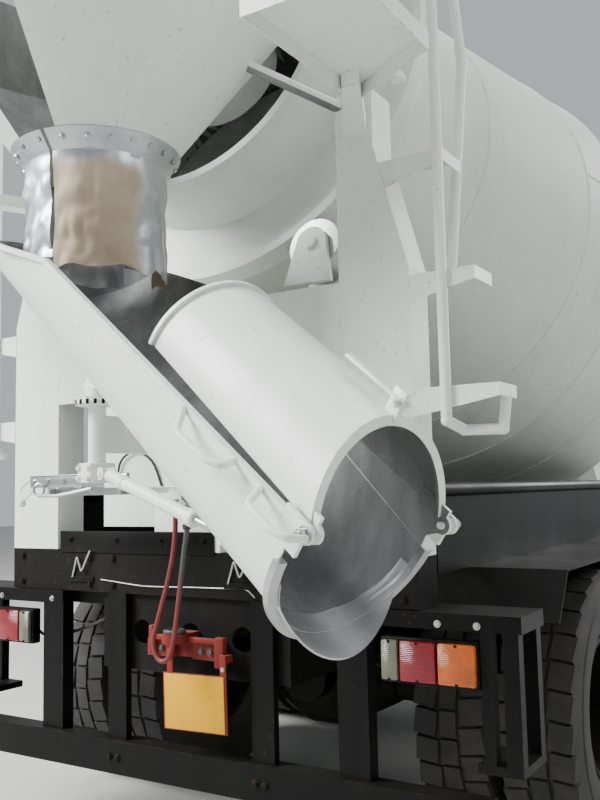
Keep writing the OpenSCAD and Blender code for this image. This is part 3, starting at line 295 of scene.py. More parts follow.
def mixed(tree, mask, under, over):
    node = tree.nodes.new("ShaderNodeMix")
    node.data_type = "RGBA"
    wire(tree, mask, node.inputs["Factor"])
    for socket, value in ((node.inputs[6], under), (node.inputs[7], over)):
        if hasattr(value, "is_linked"):
            wire(tree, value, socket)
        else:
            socket.default_value = (*value, 1)
    return node.outputs[2]


def weather_group():
    """Clouds, downward runs, fine specks and scratches over a surface."""
    tree, start, end = make_group(
        "weather", [("Place", "NodeSocketVector", None), ("Size", "NodeSocketFloat", 1.0)],
        [("Clouds", "NodeSocketFloat"), ("Runs", "NodeSocketFloat"), ("Specks", "NodeSocketFloat"),
         ("Scratches", "NodeSocketFloat")])
    scaled = tree.nodes.new("ShaderNodeVectorMath")
    scaled.operation = "SCALE"
    wire(tree, start.outputs["Place"], scaled.inputs[0])
    wire(tree, start.outputs["Size"], scaled.inputs["Scale"])
    place = scaled.outputs[0]
    clouds = noise_in(tree, place, 1.7, 7, 0.62)
    runs = noise_in(tree, stretched(tree, place, (13, 13, 1.1)), 1.0, 5, 0.6)
    specks = ramp(tree, noise_in(tree, place, 46, 3, 0.7), 0.64, 0.72)
    scratch = ramp(tree, noise_in(tree, stretched(tree, place, (5, 60, 60)), 1.0, 3, 0.5), 0.66, 0.72)
    wire(tree, ramp(tree, clouds, 0.3, 0.7), end.inputs["Clouds"])
    wire(tree, ramp(tree, runs, 0.52, 0.78), end.inputs["Runs"])
    wire(tree, specks, end.inputs["Specks"])
    wire(tree, scratch, end.inputs["Scratches"])
    return tree


def edge_group():
    """Worn corners: where a rounded normal leaves the true one."""
    tree, start, end = make_group(
        "worn_edges", [("Place", "NodeSocketVector", None), ("Amount", "NodeSocketFloat", 1.0)],
        [("Mask", "NodeSocketFloat")])
    soft = tree.nodes.new("ShaderNodeBevel")
    soft.samples = 3
    soft.inputs["Radius"].default_value = 0.006
    true = tree.nodes.new("ShaderNodeNewGeometry")
    dot = tree.nodes.new("ShaderNodeVectorMath")
    dot.operation = "DOT_PRODUCT"
    wire(tree, soft.outputs["Normal"], dot.inputs[0])
    wire(tree, true.outputs["True Normal"], dot.inputs[1])
    corner = ramp(tree, dot.outputs["Value"], 0.985, 0.8)
    patch = ramp(tree, noise_in(tree, start.outputs["Place"], 22, 5, 0.7), 0.5, 0.62)
    both = times(tree, corner, patch)
    wire(tree, times(tree, both, start.outputs["Amount"]), end.inputs["Mask"])
    return tree


def dust_group():
    """Dust that settles on faces turned upwards."""
    tree, start, end = make_group(
        "dust", [("Place", "NodeSocketVector", None), ("Amount", "NodeSocketFloat", 0.5)],
        [("Mask", "NodeSocketFloat")])
    true = tree.nodes.new("ShaderNodeNewGeometry")
    axes = tree.nodes.new("ShaderNodeSeparateXYZ")
    wire(tree, true.outputs["Normal"], axes.inputs[0])
    up = ramp(tree, axes.outputs["Z"], 0.2, 1.0)
    patch = ramp(tree, noise_in(tree, start.outputs["Place"], 9, 6, 0.65), 0.35, 0.65, 0.35, 1.0)
    both = times(tree, up, patch)
    wire(tree, times(tree, both, start.outputs["Amount"]), end.inputs["Mask"])
    return tree


WEATHER, EDGES, DUST = weather_group(), edge_group(), dust_group()


class Finish:
    """A material with its node tree, shader and object coordinates at hand."""

    def __init__(self, name, rough, metal=0.0):
        self.material = bpy.data.materials.new(name)
        self.material.use_nodes = True
        self.tree = self.material.node_tree
        self.shader = self.tree.nodes["Principled BSDF"]
        self.shader.inputs["Roughness"].default_value = rough
        self.shader.inputs["Metallic"].default_value = metal
        self.place = self.tree.nodes.new("ShaderNodeTexCoord").outputs["Object"]

    def group(self, which, **values):
        node = self.tree.nodes.new("ShaderNodeGroup")
        node.node_tree = which
        wire(self.tree, self.place, node.inputs["Place"])
        for label, number in values.items():
            node.inputs[label].default_value = number
        return node.outputs

    def colour(self, socket):
        wire(self.tree, socket, self.shader.inputs["Base Color"])

    def rough(self, socket):
        wire(self.tree, socket, self.shader.inputs["Roughness"])

    def bump(self, height, distance, strength=1.0):
        node = self.tree.nodes.new("ShaderNodeBump")
        node.inputs["Distance"].default_value = distance
        node.inputs["Strength"].default_value = strength
        wire(self.tree, height, node.inputs["Height"])
        wire(self.tree, node.outputs["Normal"], self.shader.inputs["Normal"])


def paint(name, light, dark, rust, grime, rough=0.42, run=0.35, edge=1.0, dust=0.2, size=1.0, wavy=0.0012,
          gloss=0.5, dirt=(0.42, 0.38, 0.31)):
    """Aged paint over steel: clouds, runs, rusty specks, worn edges and dust."""
    f = Finish(name, rough)
    t = f.tree
    weather = f.group(WEATHER, Size=size)
    worn = f.group(EDGES, Amount=edge)
    dusty = f.group(DUST, Amount=dust)
    f.shader.inputs["Specular IOR Level"].default_value = gloss
    colour = mixed(t, weather["Clouds"], light, dark)
    colour = mixed(t, times(t, weather["Runs"], run), colour, grime)
    colour = mixed(t, times(t, weather["Specks"], 0.5), colour, rust)
    colour = mixed(t, worn["Mask"], colour, rust)
    colour = mixed(t, dusty["Mask"], colour, dirt)
    f.colour(colour)
    f.rough(ramp(t, weather["Clouds"], 0, 1, rough - 0.07, rough + 0.16))
    strokes = noise_in(t, stretched(t, f.place, (9, 9, 90)), 1.0, 3, 0.6)
    f.bump(maths(t, "ADD", weather["Clouds"], times(t, strokes, 0.12)), wavy)
    return f.material


def metal(name, light, dark, rust, rough=0.35, rust_share=0.4, dents=0.0):
    """Bare steel, brushed and spotted with rust, dented where it is thin sheet."""
    f = Finish(name, rough, 0.9)
    t = f.tree
    weather = f.group(WEATHER, Size=3.0)
    colour = mixed(t, weather["Clouds"], light, dark)
    spots = ramp(t, noise_in(t, f.place, 11, 7, 0.72), 0.62 - 0.2 * rust_share, 0.74)
    rusty = times(t, spots, rust_share)
    f.colour(mixed(t, rusty, colour, rust))
    wire(t, ramp(t, rusty, 0, 1, 0.9, 0.05), f.shader.inputs["Metallic"])
    f.rough(ramp(t, rusty, 0, 1, rough, 0.85))
    brushed = noise_in(t, stretched(t, f.place, (30, 30, 260)), 1.0, 2, 0.5)
    waves = noise_in(t, f.place, 14, 2, 0.4)
    f.bump(maths(t, "ADD", times(t, brushed, 0.02), times(t, waves, dents)), 0.01)
    return f.material


def stained_sheet():
    """Galvanised sheet with a beige cement patch that fades into rusty grey borders."""
    f = Finish("stained_sheet", 0.45, 0.6)
    t = f.tree
    weather = f.group(WEATHER, Size=3.0)
    axes = t.nodes.new("ShaderNodeSeparateXYZ")
    wire(t, f.place, axes.inputs[0])
    wander = times(t, noise_in(t, f.place, 7, 5, 0.6), 0.09)
    height = maths(t, "ADD", axes.outputs["Z"], wander)
    below = ramp(t, height, 2.47, 2.42)
    beside = ramp(t, maths(t, "ADD", axes.outputs["Y"], wander), -0.16, -0.12)
    behind = ramp(t, maths(t, "ADD", axes.outputs["X"], wander), -3.50, -3.56)
    patch = times(t, below, maths(t, "MAXIMUM", beside, behind))
    metal_tone = mixed(t, weather["Clouds"], (0.62, 0.64, 0.66), (0.4, 0.42, 0.44))
    beige = mixed(t, weather["Clouds"], (0.52, 0.43, 0.31), (0.36, 0.27, 0.17))
    colour = mixed(t, patch, metal_tone, beige)
    f.colour(mixed(t, times(t, weather["Specks"], 0.5), colour, RUST))
    wire(t, ramp(t, patch, 0, 1, 0.85, 0.0), f.shader.inputs["Metallic"])
    f.rough(ramp(t, patch, 0, 1, 0.33, 0.75))
    f.bump(noise_in(t, f.place, 14, 3, 0.5), 0.002)
    return f.material


def cement(name, light, dark, rust):
    """Steel inside the chutes, scraped and stained by concrete."""
    f = Finish(name, 0.7, 0.25)
    t = f.tree
    weather = f.group(WEATHER, Size=2.6)
    along = noise_in(t, stretched(t, f.place, (3.5, 3.5, 1.2)), 2.0, 6, 0.62)
    colour = mixed(t, ramp(t, along, 0.35, 0.68), dark, light)
    stain = times(t, ramp(t, noise_in(t, f.place, 5, 6, 0.7), 0.58, 0.75), 0.6)
    colour = mixed(t, stain, colour, rust)
    colour = mixed(t, times(t, weather["Scratches"], 0.35), colour, (0.5, 0.52, 0.52))
    f.colour(colour)
    f.bump(noise_in(t, f.place, 60, 6, 0.7), 0.0015)
    return f.material


def rubber(name, base, mud, mud_share):
    f = Finish(name, 0.78)
    t = f.tree
    weather = f.group(WEATHER, Size=4.0)
    patches = times(t, ramp(t, noise_in(t, f.place, 8, 7, 0.68), 0.42, 0.62), mud_share)
    colour = mixed(t, weather["Clouds"], base, tuple(c * 1.7 for c in base))
    f.colour(mixed(t, patches, colour, mud))
    f.bump(noise_in(t, f.place, 90, 4, 0.6), 0.001)
    return f.material


def hose_rubber():
    """Red rubber that turns dark grey on the hose's right limb."""
    f = Finish("hose_rubber", 0.55)
    t = f.tree
    axes = t.nodes.new("ShaderNodeSeparateXYZ")
    wire(t, f.place, axes.inputs[0])
    clouds = f.group(WEATHER, Size=6.0)["Clouds"]
    red = mixed(t, clouds, (0.17, 0.014, 0.013), (0.11, 0.016, 0.014))
    grey = mixed(t, clouds, (0.06, 0.062, 0.062), (0.035, 0.036, 0.036))
    f.colour(mixed(t, ramp(t, axes.outputs["Y"], -0.11, -0.122), red, grey))
    f.bump(noise_in(t, f.place, 120, 3, 0.5), 0.0006)
    return f.material


def lens(name, colour):
    f = Finish(name, 0.16)
    t = f.tree
    weather = f.group(WEATHER, Size=8.0)
    deep = tuple(c * 0.55 for c in colour)
    base = mixed(t, weather["Clouds"], colour, deep)
    f.colour(mixed(t, times(t, weather["Specks"], 0.35), base, (0.35, 0.3, 0.25)))
    f.shader.inputs["Coat Weight"].default_value = 0.2
    ribs = t.nodes.new("ShaderNodeTexWave")
    ribs.bands_direction = "Z"
    ribs.inputs["Scale"].default_value = 55
    wire(t, f.place, ribs.inputs["Vector"])
    f.bump(ribs.outputs["Fac"], 0.0008)
    return f.material


def glass(name):
    f = Finish(name, 0.04)
    t = f.tree
    weather = f.group(WEATHER, Size=2.0)
    f.colour(mixed(t, times(t, weather["Runs"], 0.3), (0.42, 0.48, 0.47), (0.3, 0.28, 0.24)))
    f.shader.inputs["Transmission Weight"].default_value = 0.75
    f.shader.inputs["IOR"].default_value = 1.3
    f.rough(ramp(t, weather["Clouds"], 0, 1, 0.02, 0.12))
    return f.material


RUST = (0.19, 0.075, 0.03)
WHITE = paint("white_paint", (0.81, 0.86, 0.8), (0.73, 0.785, 0.725), (0.3, 0.19, 0.12), (0.6, 0.61, 0.55),
              rough=0.36, run=0.25)
DRUM_WHITE = paint("drum_paint", (0.74, 0.785, 0.73), (0.62, 0.665, 0.61), (0.45, 0.38, 0.3),
                   (0.52, 0.53, 0.48), run=0.5, edge=0.6, dust=0.12, size=0.6, wavy=0.004)
BLACK = paint("black_paint", (0.0025, 0.0028, 0.003), (0.005, 0.005, 0.0048), (0.07, 0.04, 0.022),
              (0.012, 0.011, 0.009), rough=0.38, run=0.4, edge=0.6, dust=0.22, gloss=0.12,
              dirt=(0.04, 0.037, 0.032))
DIRTY_BLACK = paint("chassis_paint", (0.0035, 0.0035, 0.0035), (0.008, 0.0075, 0.0065), (0.08, 0.045, 0.026),
                    (0.016, 0.014, 0.011), rough=0.52, run=0.6, edge=0.6, dust=0.3, gloss=0.12,
                    dirt=(0.05, 0.045, 0.036))
RED = paint("red_paint", (0.26, 0.018, 0.013), (0.17, 0.015, 0.012), (0.07, 0.03, 0.018), (0.1, 0.03, 0.022),
            rough=0.45, gloss=0.25)
STEEL = metal("bare_steel", (0.56, 0.57, 0.57), (0.4, 0.41, 0.41), RUST, 0.32, 0.35)
CAST = metal("cast", (0.13, 0.13, 0.13), (0.07, 0.07, 0.07), RUST, 0.6, 0.5)
SHEET = metal("galvanised_sheet", (0.66, 0.68, 0.7), (0.46, 0.48, 0.5), (0.3, 0.2, 0.13), 0.42, 0.25, 0.12)
STAINED_SHEET = stained_sheet()
WORN_LIP = metal("worn_lip", (0.6, 0.62, 0.62), (0.42, 0.44, 0.44), (0.22, 0.17, 0.13), 0.42, 0.2, 0.2)
CEMENT = cement("cement_stain", (0.25, 0.26, 0.26), (0.13, 0.135, 0.135), (0.15, 0.095, 0.065))
# Lighter cement grey: splashes on the drum's blades, and painted light where it lifts the shadow inside the
# drum's mouth
SPLASH_AND_PAINTED_LIGHT = cement("cement_splash_and_painted_light", (0.6, 0.62, 0.59), (0.42, 0.43, 0.41), (0.3, 0.25, 0.19))
RUBBER = rubber("tyre_rubber", (0.014, 0.014, 0.0135), (0.06, 0.05, 0.04), 0.45)
HOSE = hose_rubber()
TRIM = rubber("dark_trim", (0.016, 0.016, 0.017), (0.06, 0.055, 0.05), 0.3)
GLASS = glass("clear_glass")
LENS_RED, LENS_AMBER = lens("lamp_red", (0.26, 0.003, 0.012)), lens("lamp_amber", (0.62, 0.115, 0.002))
LENS_WHITE, LENS_CLEAR = lens("lamp_white", (0.15, 0.155, 0.105)), lens("lamp_clear", (0.7, 0.72, 0.72))
PLATE = paint("plate_yellow", (0.7, 0.36, 0.002), (0.6, 0.3, 0.002), (0.2, 0.11, 0.05), (0.42, 0.25, 0.03),
              rough=0.5, dust=0.0, gloss=0.2)

SLOTS = {finish: slot for slot, finishes in (
    ("white_paint", (WHITE, DRUM_WHITE)), ("black_paint", (BLACK, DIRTY_BLACK)), ("red_paint", (RED,)),
    ("bare_steel", (STEEL, SHEET, STAINED_SHEET, WORN_LIP, CEMENT, SPLASH_AND_PAINTED_LIGHT)), ("cast", (CAST,)),
    ("lamp_lens", (LENS_RED, LENS_AMBER, LENS_WHITE, LENS_CLEAR)), ("tyre_rubber", (RUBBER,)),
    ("hose_rubber", (HOSE,)), ("dark_trim", (TRIM, PLATE)), ("clear_glass", (GLASS,))) for finish in finishes}


def fit(obj, body, finish):
    """Gives a new piece its finish and the body it rides on."""
    obj.data.materials.clear()
    obj.data.materials.append(finish)
    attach(obj, body)
    return obj


def add_rod(name, points, radius, bend, finish, body="chassis", place=None):
    return fit(bent_rod(name, points, radius, bend, place), body, finish)


def add_block(name, low, high, edge, finish, body="chassis"):
    return fit(block(name, low, high, edge), body, finish)


def add_turned(name, profile, at, along, steps, finish, body="chassis", closed=False):
    return fit(turned(name, profile, at, along, steps, closed), body, finish)


def add_bolts(name, size, out, points, finish, body="chassis"):
    """Bolts that all point one way."""
    return fit(bolts(name, size, [(point, out) for point in points]), body, finish)


def side_block(name, side, low, high, edge=0.003):
    """A block at one side of the truck; Y counts outwards from the middle."""
    y0, y1 = sorted((side * low[1], side * high[1]))
    return block(name, (low[0], y0, low[2]), (high[0], y1, high[2]), edge)


def blocks(name, parts, place=None):
    """One piece of several blocks: low corner, high corner and bevel of each."""
    return joined(name, [block(name, low, high, edge, place) for low, high, edge in parts])


def ring_shape(name, radius, thick, steps, sides, height=0.0):
    deselect()
    bpy.ops.mesh.primitive_torus_add(major_radius=radius, minor_radius=thick, major_segments=steps,
                                     minor_segments=sides, location=(0, 0, height))
    bpy.context.object.name = name
    return bpy.context.object


def bent_sheet(name, steps, shape, thickness, size=1, offset=-1.0, inside=False):
    """A thin sheet: a flat grid whose points are moved by a shape, thickened to one side."""
    deselect()
    bpy.ops.mesh.primitive_grid_add(x_subdivisions=steps[0], y_subdivisions=steps[1], size=size)
    sheet = bpy.context.object
    for point in sheet.data.vertices:
        point.co = shape(point.co.x, point.co.y)
    open_mesh(sheet)
    bpy.ops.mesh.select_all(action="SELECT")
    bpy.ops.mesh.normals_make_consistent(inside=inside)
    close_mesh()
    grow_mesh(sheet, thickness, offset)
    sheet.name = name
    return sheet


def dress(names, finish):
    """Paints whole nodes."""
    for name in names.split():
        mesh = nodes[name].data
        mesh.materials.clear()
        mesh.materials.append(finish)


def paint_faces(name, chosen, finish):
    """Paints the node's faces whose centre and normal pass a test."""
    mesh = nodes[name].data
    mesh.materials.append(finish)
    index = len(mesh.materials) - 1
    for face in mesh.polygons:
        if chosen(face.center, face.normal):
            face.material_index = index


# Camera at the photograph's place, with its focal length in pixels of a picture 800 high
CAMERA_AT = (-5.645, -2.090, 1.380)
YAW, PITCH, ROLL = 31.83, 5.65, -1.22
SENSOR, FOCAL, PICTURE = 24, 895.5, 800


def place_camera():
    yaw, pitch, roll = math.radians(YAW), math.radians(PITCH), math.radians(ROLL)
    ahead = Vector((math.cos(yaw) * math.cos(pitch), math.sin(yaw) * math.cos(pitch), math.sin(pitch)))
    right = Vector((math.sin(yaw), -math.cos(yaw), 0))
    up = right.cross(ahead)
    right, up = (math.cos(roll) * right + math.sin(roll) * up, -math.sin(roll) * right + math.cos(roll) * up)
    data = bpy.data.cameras.new("camera")
    data.sensor_fit = "VERTICAL"
    data.sensor_height = SENSOR
    data.sensor_width = SENSOR
    data.lens = SENSOR * FOCAL / PICTURE
    data.clip_start, data.clip_end = 0.05, 200
    camera = bpy.data.objects.new("camera", data)
    bpy.context.scene.collection.objects.link(camera)
    turn = Matrix((right, up, -ahead)).transposed().to_4x4()
    camera.matrix_world = Matrix.Translation(CAMERA_AT) @ turn
    bpy.context.scene.camera = camera


place_camera()

# Hose that hangs from the chute jack's valve: its route in millimetres, as in the part's source
HOSE_PATH = [
    (-3250, -90, 1352), (-3250, -90, 1318), (-3250, -91, 1260), (-3252, -84, 1180), (-3254, -64, 1090),
    (-3256, -36, 1000), (-3256, -12, 930), (-3256, 4, 880), (-3256, -4, 830), (-3256, -30, 806),
    (-3256, -62, 820), (-3256, -82, 870), (-3254, -98, 960), (-3252, -112, 1060), (-3250, -124, 1150),
    (-3250, -138, 1230), (-3250, -150, 1290), (-3250, -150, 1318), (-3250, -150, 1352)]
HOSE_R = 0.009


def hang_hose():
    points = [Vector(p) / 1000 for p in HOSE_PATH]
    last = len(points) - 1
    route = []
    for i in range(last):
        a, b, c, d = points[max(i - 1, 0)], points[i], points[i + 1], points[min(i + 2, last)]
        for k in range(5):
            u = k / 5
            bow = (2 * a - 5 * b + 4 * c - d) + u * (3 * (b - c) + d - a)
            route.append(b + 0.5 * u * ((c - a) + u * bow))
    route.append(points[last])
    hose = curve_through("return_hose", route, HOSE_R, 4)
    fit(hose, "chassis", HOSE)
    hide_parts("hose")


hang_hose()

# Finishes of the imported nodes
dress("frame_rails mixer_subframe rear_bogie front_axle air_rack", DIRTY_BLACK)
dress("tail_shelf_left tail_shelf_right mudguard_left mudguard_right underrun_bar", BLACK)
dress("roller_beam post_left post_right front_pedestal water_tank service_platform ladder_left ladder_right "
      "charge_hopper chute_pedestal chute_column jack_tube cab_shell door_left door_right front_bumper "
      "flow_guides main_chute extension_chute", WHITE)
dress("drum_shell", DRUM_WHITE)
dress("drum_gearbox driveline engine knuckle_left knuckle_right", CAST)
dress("silencer jack_rod chute_lip control_linkage roller_left roller_right fuel_tank", STEEL)
dress("drum_blades", SPLASH_AND_PAINTED_LIGHT)
dress("cab_interior mirrors", TRIM)
dress("cab_glass", GLASS)
dress("tow_bracket", RED)

INTO_CHUTE = ON_CHUTE.inverted()
TURN_IN = INTO_CHUTE.to_3x3()
TROUGH_AXIS_Z = TROUGH_FLOOR + TAIL_R
TROUGH_TAPER = 0.0515


def inside_trough(centre, normal):
    at, out = INTO_CHUTE @ centre, TURN_IN @ normal
    if (out.z > 0.98 and at.z > RIM_Z - 0.03) or at.x > MOUTH:
        return False
    across = Vector((0, at.y, min(0.0, at.z - TROUGH_AXIS_Z)))
    flat = Vector((centre.x - SWIVEL.x, centre.y, 0))
    if at.x < 0.05 and flat.length > HEAD_R - 0.012 and flat.normalized().dot(normal) < -0.7:
        return True
    near = across.length < TAIL_R + TROUGH_TAPER * (MOUTH - at.x) + 0.003
    return near and out.dot(across) < 0


def inside_extension(centre, normal):
    at, out = INTO_CHUTE @ centre, TURN_IN @ normal
    across = Vector((0, at.y, at.z - RIM_Z))
    return abs(out.x) < 0.6 and out.dot(across) < 0 and across.length < EXTENSION_R + 0.02


paint_faces("main_chute", inside_trough, CEMENT)
paint_faces("extension_chute", inside_extension, CEMENT)
paint_faces("chute_lip", lambda c, n: (TURN_IN @ n).z > 0.1, WORN_LIP)
paint_faces("flow_guides", lambda c, n: n.x * (c.x - SWIVEL.x) + n.y * c.y < 0 and n.z > -0.99, CEMENT)
DRUM_IN = ON_DRUM.inverted()


def inside_drum(centre, normal):
    at, out = DRUM_IN @ centre, DRUM_IN.to_3x3() @ normal
    radius = math.hypot(at.x, at.y)
    return out.x * at.x + out.y * at.y < -0.1 * radius and radius < BELLY_R - 0.004


paint_faces("drum_shell", inside_drum, CEMENT)
# The drum's inside near the mouth gets the lighter grey: painted light that lifts the shadow there
paint_faces("drum_shell", lambda c, n: inside_drum(c, n) and (DRUM_IN @ c).z < 1.0 - CONE_LEN, SPLASH_AND_PAINTED_LIGHT)


# Blank number plate on its red bracket
def hang_plate():
    pivot = Vector((-3.156, -0.087, 0.747))
    turn = Matrix.Rotation(math.radians(-1.5), 4, "X")
    lean = Matrix.Translation(pivot) @ turn @ Matrix.Translation(-pivot)
    plate = block("number_plate", (-3.158, -0.217, 0.56), (-3.155, 0.043, 0.747), 0.001, lean)
    fit(plate, "chassis", PLATE)
    fit(blocks("plate_holder", (
        ((-3.155, -0.226, 0.556), (-3.151, 0.05, 0.75), 0.001),
        ((-3.155, 0.006, 0.73), (-3.148, 0.032, 0.83), 0.002),
        ((-3.155, -0.226, 0.556), (-3.148, -0.2, 0.82), 0.002),
        ((-3.15, 0.008, 0.80), (-3.117, 0.03, 0.826), 0.002),
        ((-3.15, -0.224, 0.79), (-3.108, -0.202, 0.816), 0.002)), lean), "chassis", RED)
    add_bolts("plate_bolts", 0.006, BACK, [(-3.155, 0.019, 0.80), (-3.155, -0.213, 0.775)], STEEL)


hang_plate()


def pick(obj, chosen):
    """Opens a mesh with only the faces selected whose centre and normal pass a test."""
    open_mesh(obj)
    bpy.ops.mesh.select_mode(type="FACE")
    bpy.ops.mesh.select_all(action="DESELECT")
    close_mesh()
    for face in obj.data.polygons:
        face.select = chosen(face.center, face.normal)
    bpy.ops.object.mode_set(mode="EDIT")


def cut_holes(obj, spots, radius, depth):
    """Cuts round holes; spots are (point, direction) pairs."""
    for at, out in spots:
        deselect()
        bpy.ops.mesh.primitive_cylinder_add(vertices=20, radius=radius, depth=depth)
        drill = bpy.context.object
        drill.matrix_world = stand(at, out)
        take(obj)
        cut = obj.modifiers.new("hole", "BOOLEAN")
        cut.object = drill
        cut.solver = "EXACT"
        bpy.ops.object.modifier_apply(modifier=cut.name)
        bpy.data.objects.remove(drill)
    return obj


def around(count, radius, height, out=(0, 0, 1), start=0.0):
    """Evenly spaced (point, direction) pairs on a circle about Z."""
    angles = [start + 2 * math.pi * i / count for i in range(count)]
    return [((radius * math.cos(a), radius * math.sin(a), height), out) for a in angles]


# Wheels, modelled lying down with their outer face upwards
TREAD_DEPTH = 0.01
LUG_COUNT = 32
LUG_ROWS = ((-0.088, 0.09, 7), (0.0, 0.066, 0), (0.088, 0.09, -7))
LUG_LEN, LUG_T, LUG_SINK = 0.094, 0.024, 0.0125
TWIN_HALF = 0.16
DISC_T = 0.016
BEAD_Y = 0.1


def tread_lug(width):
    deselect()
    bpy.ops.mesh.primitive_cube_add(size=1, location=(0, 0, 0))
    lug = bpy.context.object
    lug.scale = (width, LUG_LEN, LUG_T)
    bpy.ops.object.transform_apply(location=True, rotation=True, scale=True)
    pick(lug, lambda c, n: n.z > 0.9)
    bpy.ops.transform.resize(value=(0.94, 0.95, 1))
    close_mesh()
    return lug


def build_tyre():
    floor = TYRE_R - TREAD_DEPTH
    half = TYRE_W / 2
    side = [(RIM_R - 0.002, BEAD_Y), (RIM_R + 0.03, half - 0.022), (RIM_R + 0.05, half - 0.012),
            (RIM_R + 0.056, half - 0.006), (RIM_R + 0.11, half), (RIM_R + 0.15, half - 0.001),
            (RIM_R + 0.156, half - 0.006), (RIM_R + 0.18, half - 0.005), (TYRE_R - 0.026, half - 0.016),
            (floor - 0.001, BEAD_Y)]
    profile = [(r, -h) for r, h in side] + [(r, h) for r, h in reversed(side)] + [(side[0][0], -side[0][1])]
    carcass = turned("carcass", profile, steps=64, closed=True)
    rows = []
    for height, width, skew in LUG_ROWS:
        places = []
        for i in range(LUG_COUNT):
            angle = 2 * math.pi * (i + (0.5 if skew > 0 else 0)) / LUG_COUNT
            upright = Matrix.Rotation(math.pi / 2, 4, "Y") @ Matrix.Rotation(math.radians(skew), 4, "Z")
            places.append(Matrix.Rotation(angle, 4, "Z") @ Matrix.Translation((TYRE_R - LUG_SINK, 0, height))
                          @ upright)
        rows.append(copies("lugs", tread_lug(width), places))
    return joined("tyre", [carcass] + rows)


def build_disc(nave, inward):
    """Wheel disc with hand holes; nave is its outer face's height and inward is the cone's direction."""
    foot = nave + inward * 0.075
    back = inward * DISC_T
    profile = [(0.1, nave), (0.165, nave), (RIM_R - 0.01, foot), (RIM_R - 0.01, foot + back),
               (0.158, nave + back), (0.1, nave + back), (0.1, nave)]
    disc = turned("disc", profile, steps=48, closed=True)
    middle = (nave + foot) / 2 + back / 2
    return cut_holes(disc, around(8, 0.206, middle, start=0.2), 0.021, 0.12)


def build_rim():
    w = BEAD_Y
    inner, outer = RIM_R - 0.012, RIM_R + 0.018
    barrel = turned("barrel", [(inner, -w - 0.01), (outer, -w - 0.01), (outer, -w), (RIM_R, -w), (RIM_R, w),
                               (outer, w), (outer, w + 0.01), (inner, w + 0.01), (inner, -w - 0.01)],
                    steps=64, closed=True)
    lock = turned("lock_ring", [(RIM_R - 0.004, w + 0.009), (RIM_R + 0.012, w + 0.009),
                                (RIM_R + 0.014, w + 0.014), (RIM_R + 0.006, w + 0.018),
                                (RIM_R - 0.004, w + 0.016), (RIM_R - 0.004, w + 0.009)],
                  steps=64, closed=True)
    return joined("rim", [barrel, lock])


def build_hub(name, nose, drum, bolt, bolt_count):
    """A hub of two turned shapes, with bolts on its nose's face."""
    return joined(name, [turned("nose", nose, steps=40), turned("drum", drum, steps=40),
                         bolts("hub_bolts", bolt, around(bolt_count, 0.045, nose[-1][1]))])


def wheel_set():
    """Six wheels: tyres, rims, hubs and nuts, each copied from one."""
    tyre, rim = build_tyre(), build_rim()
    up, flip = Matrix.Translation((0, 0, TWIN_HALF)), Matrix.Rotation(math.pi, 4, "X")
    pair = [up, Matrix.Translation((0, 0, -TWIN_HALF)) @ flip]
    twin_tyres, twin_rims = copies("tyres", clone(tyre), pair), copies("rims", clone(rim), pair)
    twin_rims = joined("twin_rims", [twin_rims, build_disc(-0.001, 1), build_disc(0.001, -1)])
    front_rim = joined("front_rim", [clone(rim), build_disc(0.141, -1)])
    twin_hub = build_hub(
        "twin_hub", [(0.101, -0.014), (0.101, 0.017), (0.088, 0.022), (0.078, 0.12), (0.06, 0.134)],
        [(0.19, -0.206), (0.195, -0.2), (0.195, -0.07), (0.165, -0.064), (0.165, -0.015)], 0.009, 8)
    front_hub = build_hub(
        "front_hub", [(0.101, 0.126), (0.101, 0.158), (0.088, 0.163), (0.078, 0.206), (0.06, 0.22)],
        [(0.19, -0.025), (0.195, -0.02), (0.195, 0.07), (0.165, 0.078), (0.165, 0.124)], 0.007, 6)
    twins = (twin_tyres, twin_rims, twin_hub, bolts("nuts", 0.019, around(10, 0.143, 0.0145)))
    fronts = (tyre, front_rim, front_hub, bolts("nuts", 0.019, around(10, 0.143, 0.1405)))
    finishes = (RUBBER, DIRTY_BLACK, CAST, STEEL)
    for label, (axle, half_track) in AXLES.items():
        for side, sign in (("left", 1), ("right", -1)):
            place = stand((axle, sign * half_track, TYRE_R), (0, sign, 0))
            body = f"wheel_{label}_{side}"
            parts = fronts if label == "front" else twins
            for name, part, finish in zip(("tyre", "rim", "hub", "nuts"), parts, finishes):
                piece = fit(copies(f"{name}_{label}_{side}", clone(part), [place]), body, finish)
                take(piece)
                bpy.ops.object.shade_smooth_by_angle(angle=0.6)
                if name == "tyre":
                    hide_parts(body)
    for part in (rim, *fronts, *twins):
        bpy.data.objects.remove(part)


wheel_set()


# Sheets bolted under the funnel: thin, creased and torn along the lower edge
SKIRT_LOW, SKIRT_BEND, SKIRT_TOP = 2.074, 2.44, 2.495
SKIRT_R, SKIRT_WIDENS, COLLAR_SLOPE = 0.2155, 0.0128, 0.82
COLLAR_R, COLLAR_Z = 0.2571, 2.47


def creased_sheet(name, start, stop, low, finish, seed, depth):
    """A sheet between two angles round the chute's swivel; depth is that of its creases."""
    def shape(u, v):
        part, rise = u + 0.5, v + 0.5
        angle = math.radians(start + (stop - start) * part)
        across = Vector((3.6 * part + seed, 1.8 * rise, seed))
        ragged = 0.022 * noise.noise(Vector((9 * part, seed, 1))) * (1 - rise)
        z = low + ragged + (SKIRT_TOP - low) * rise
        flare = SKIRT_R + SKIRT_WIDENS * min(1, max(0, (z - SKIRT_LOW) / (SKIRT_BEND - SKIRT_LOW)))
        flare += max(0, z - SKIRT_BEND) * COLLAR_SLOPE
        free = min(1, max(0, (SKIRT_BEND - z) / 0.1))
        fold = abs(noise.noise(across * 1.6)) + 0.5 * abs(noise.noise(across * 3.7))
        radius = flare + 0.001 + free * depth * (fold - 0.28)
        return SWIVEL.x + radius * math.cos(angle), radius * math.sin(angle), z

    return fit(settle(bent_sheet(name, (72, 30), shape, 0.002, offset=1.0)), "chassis", finish)


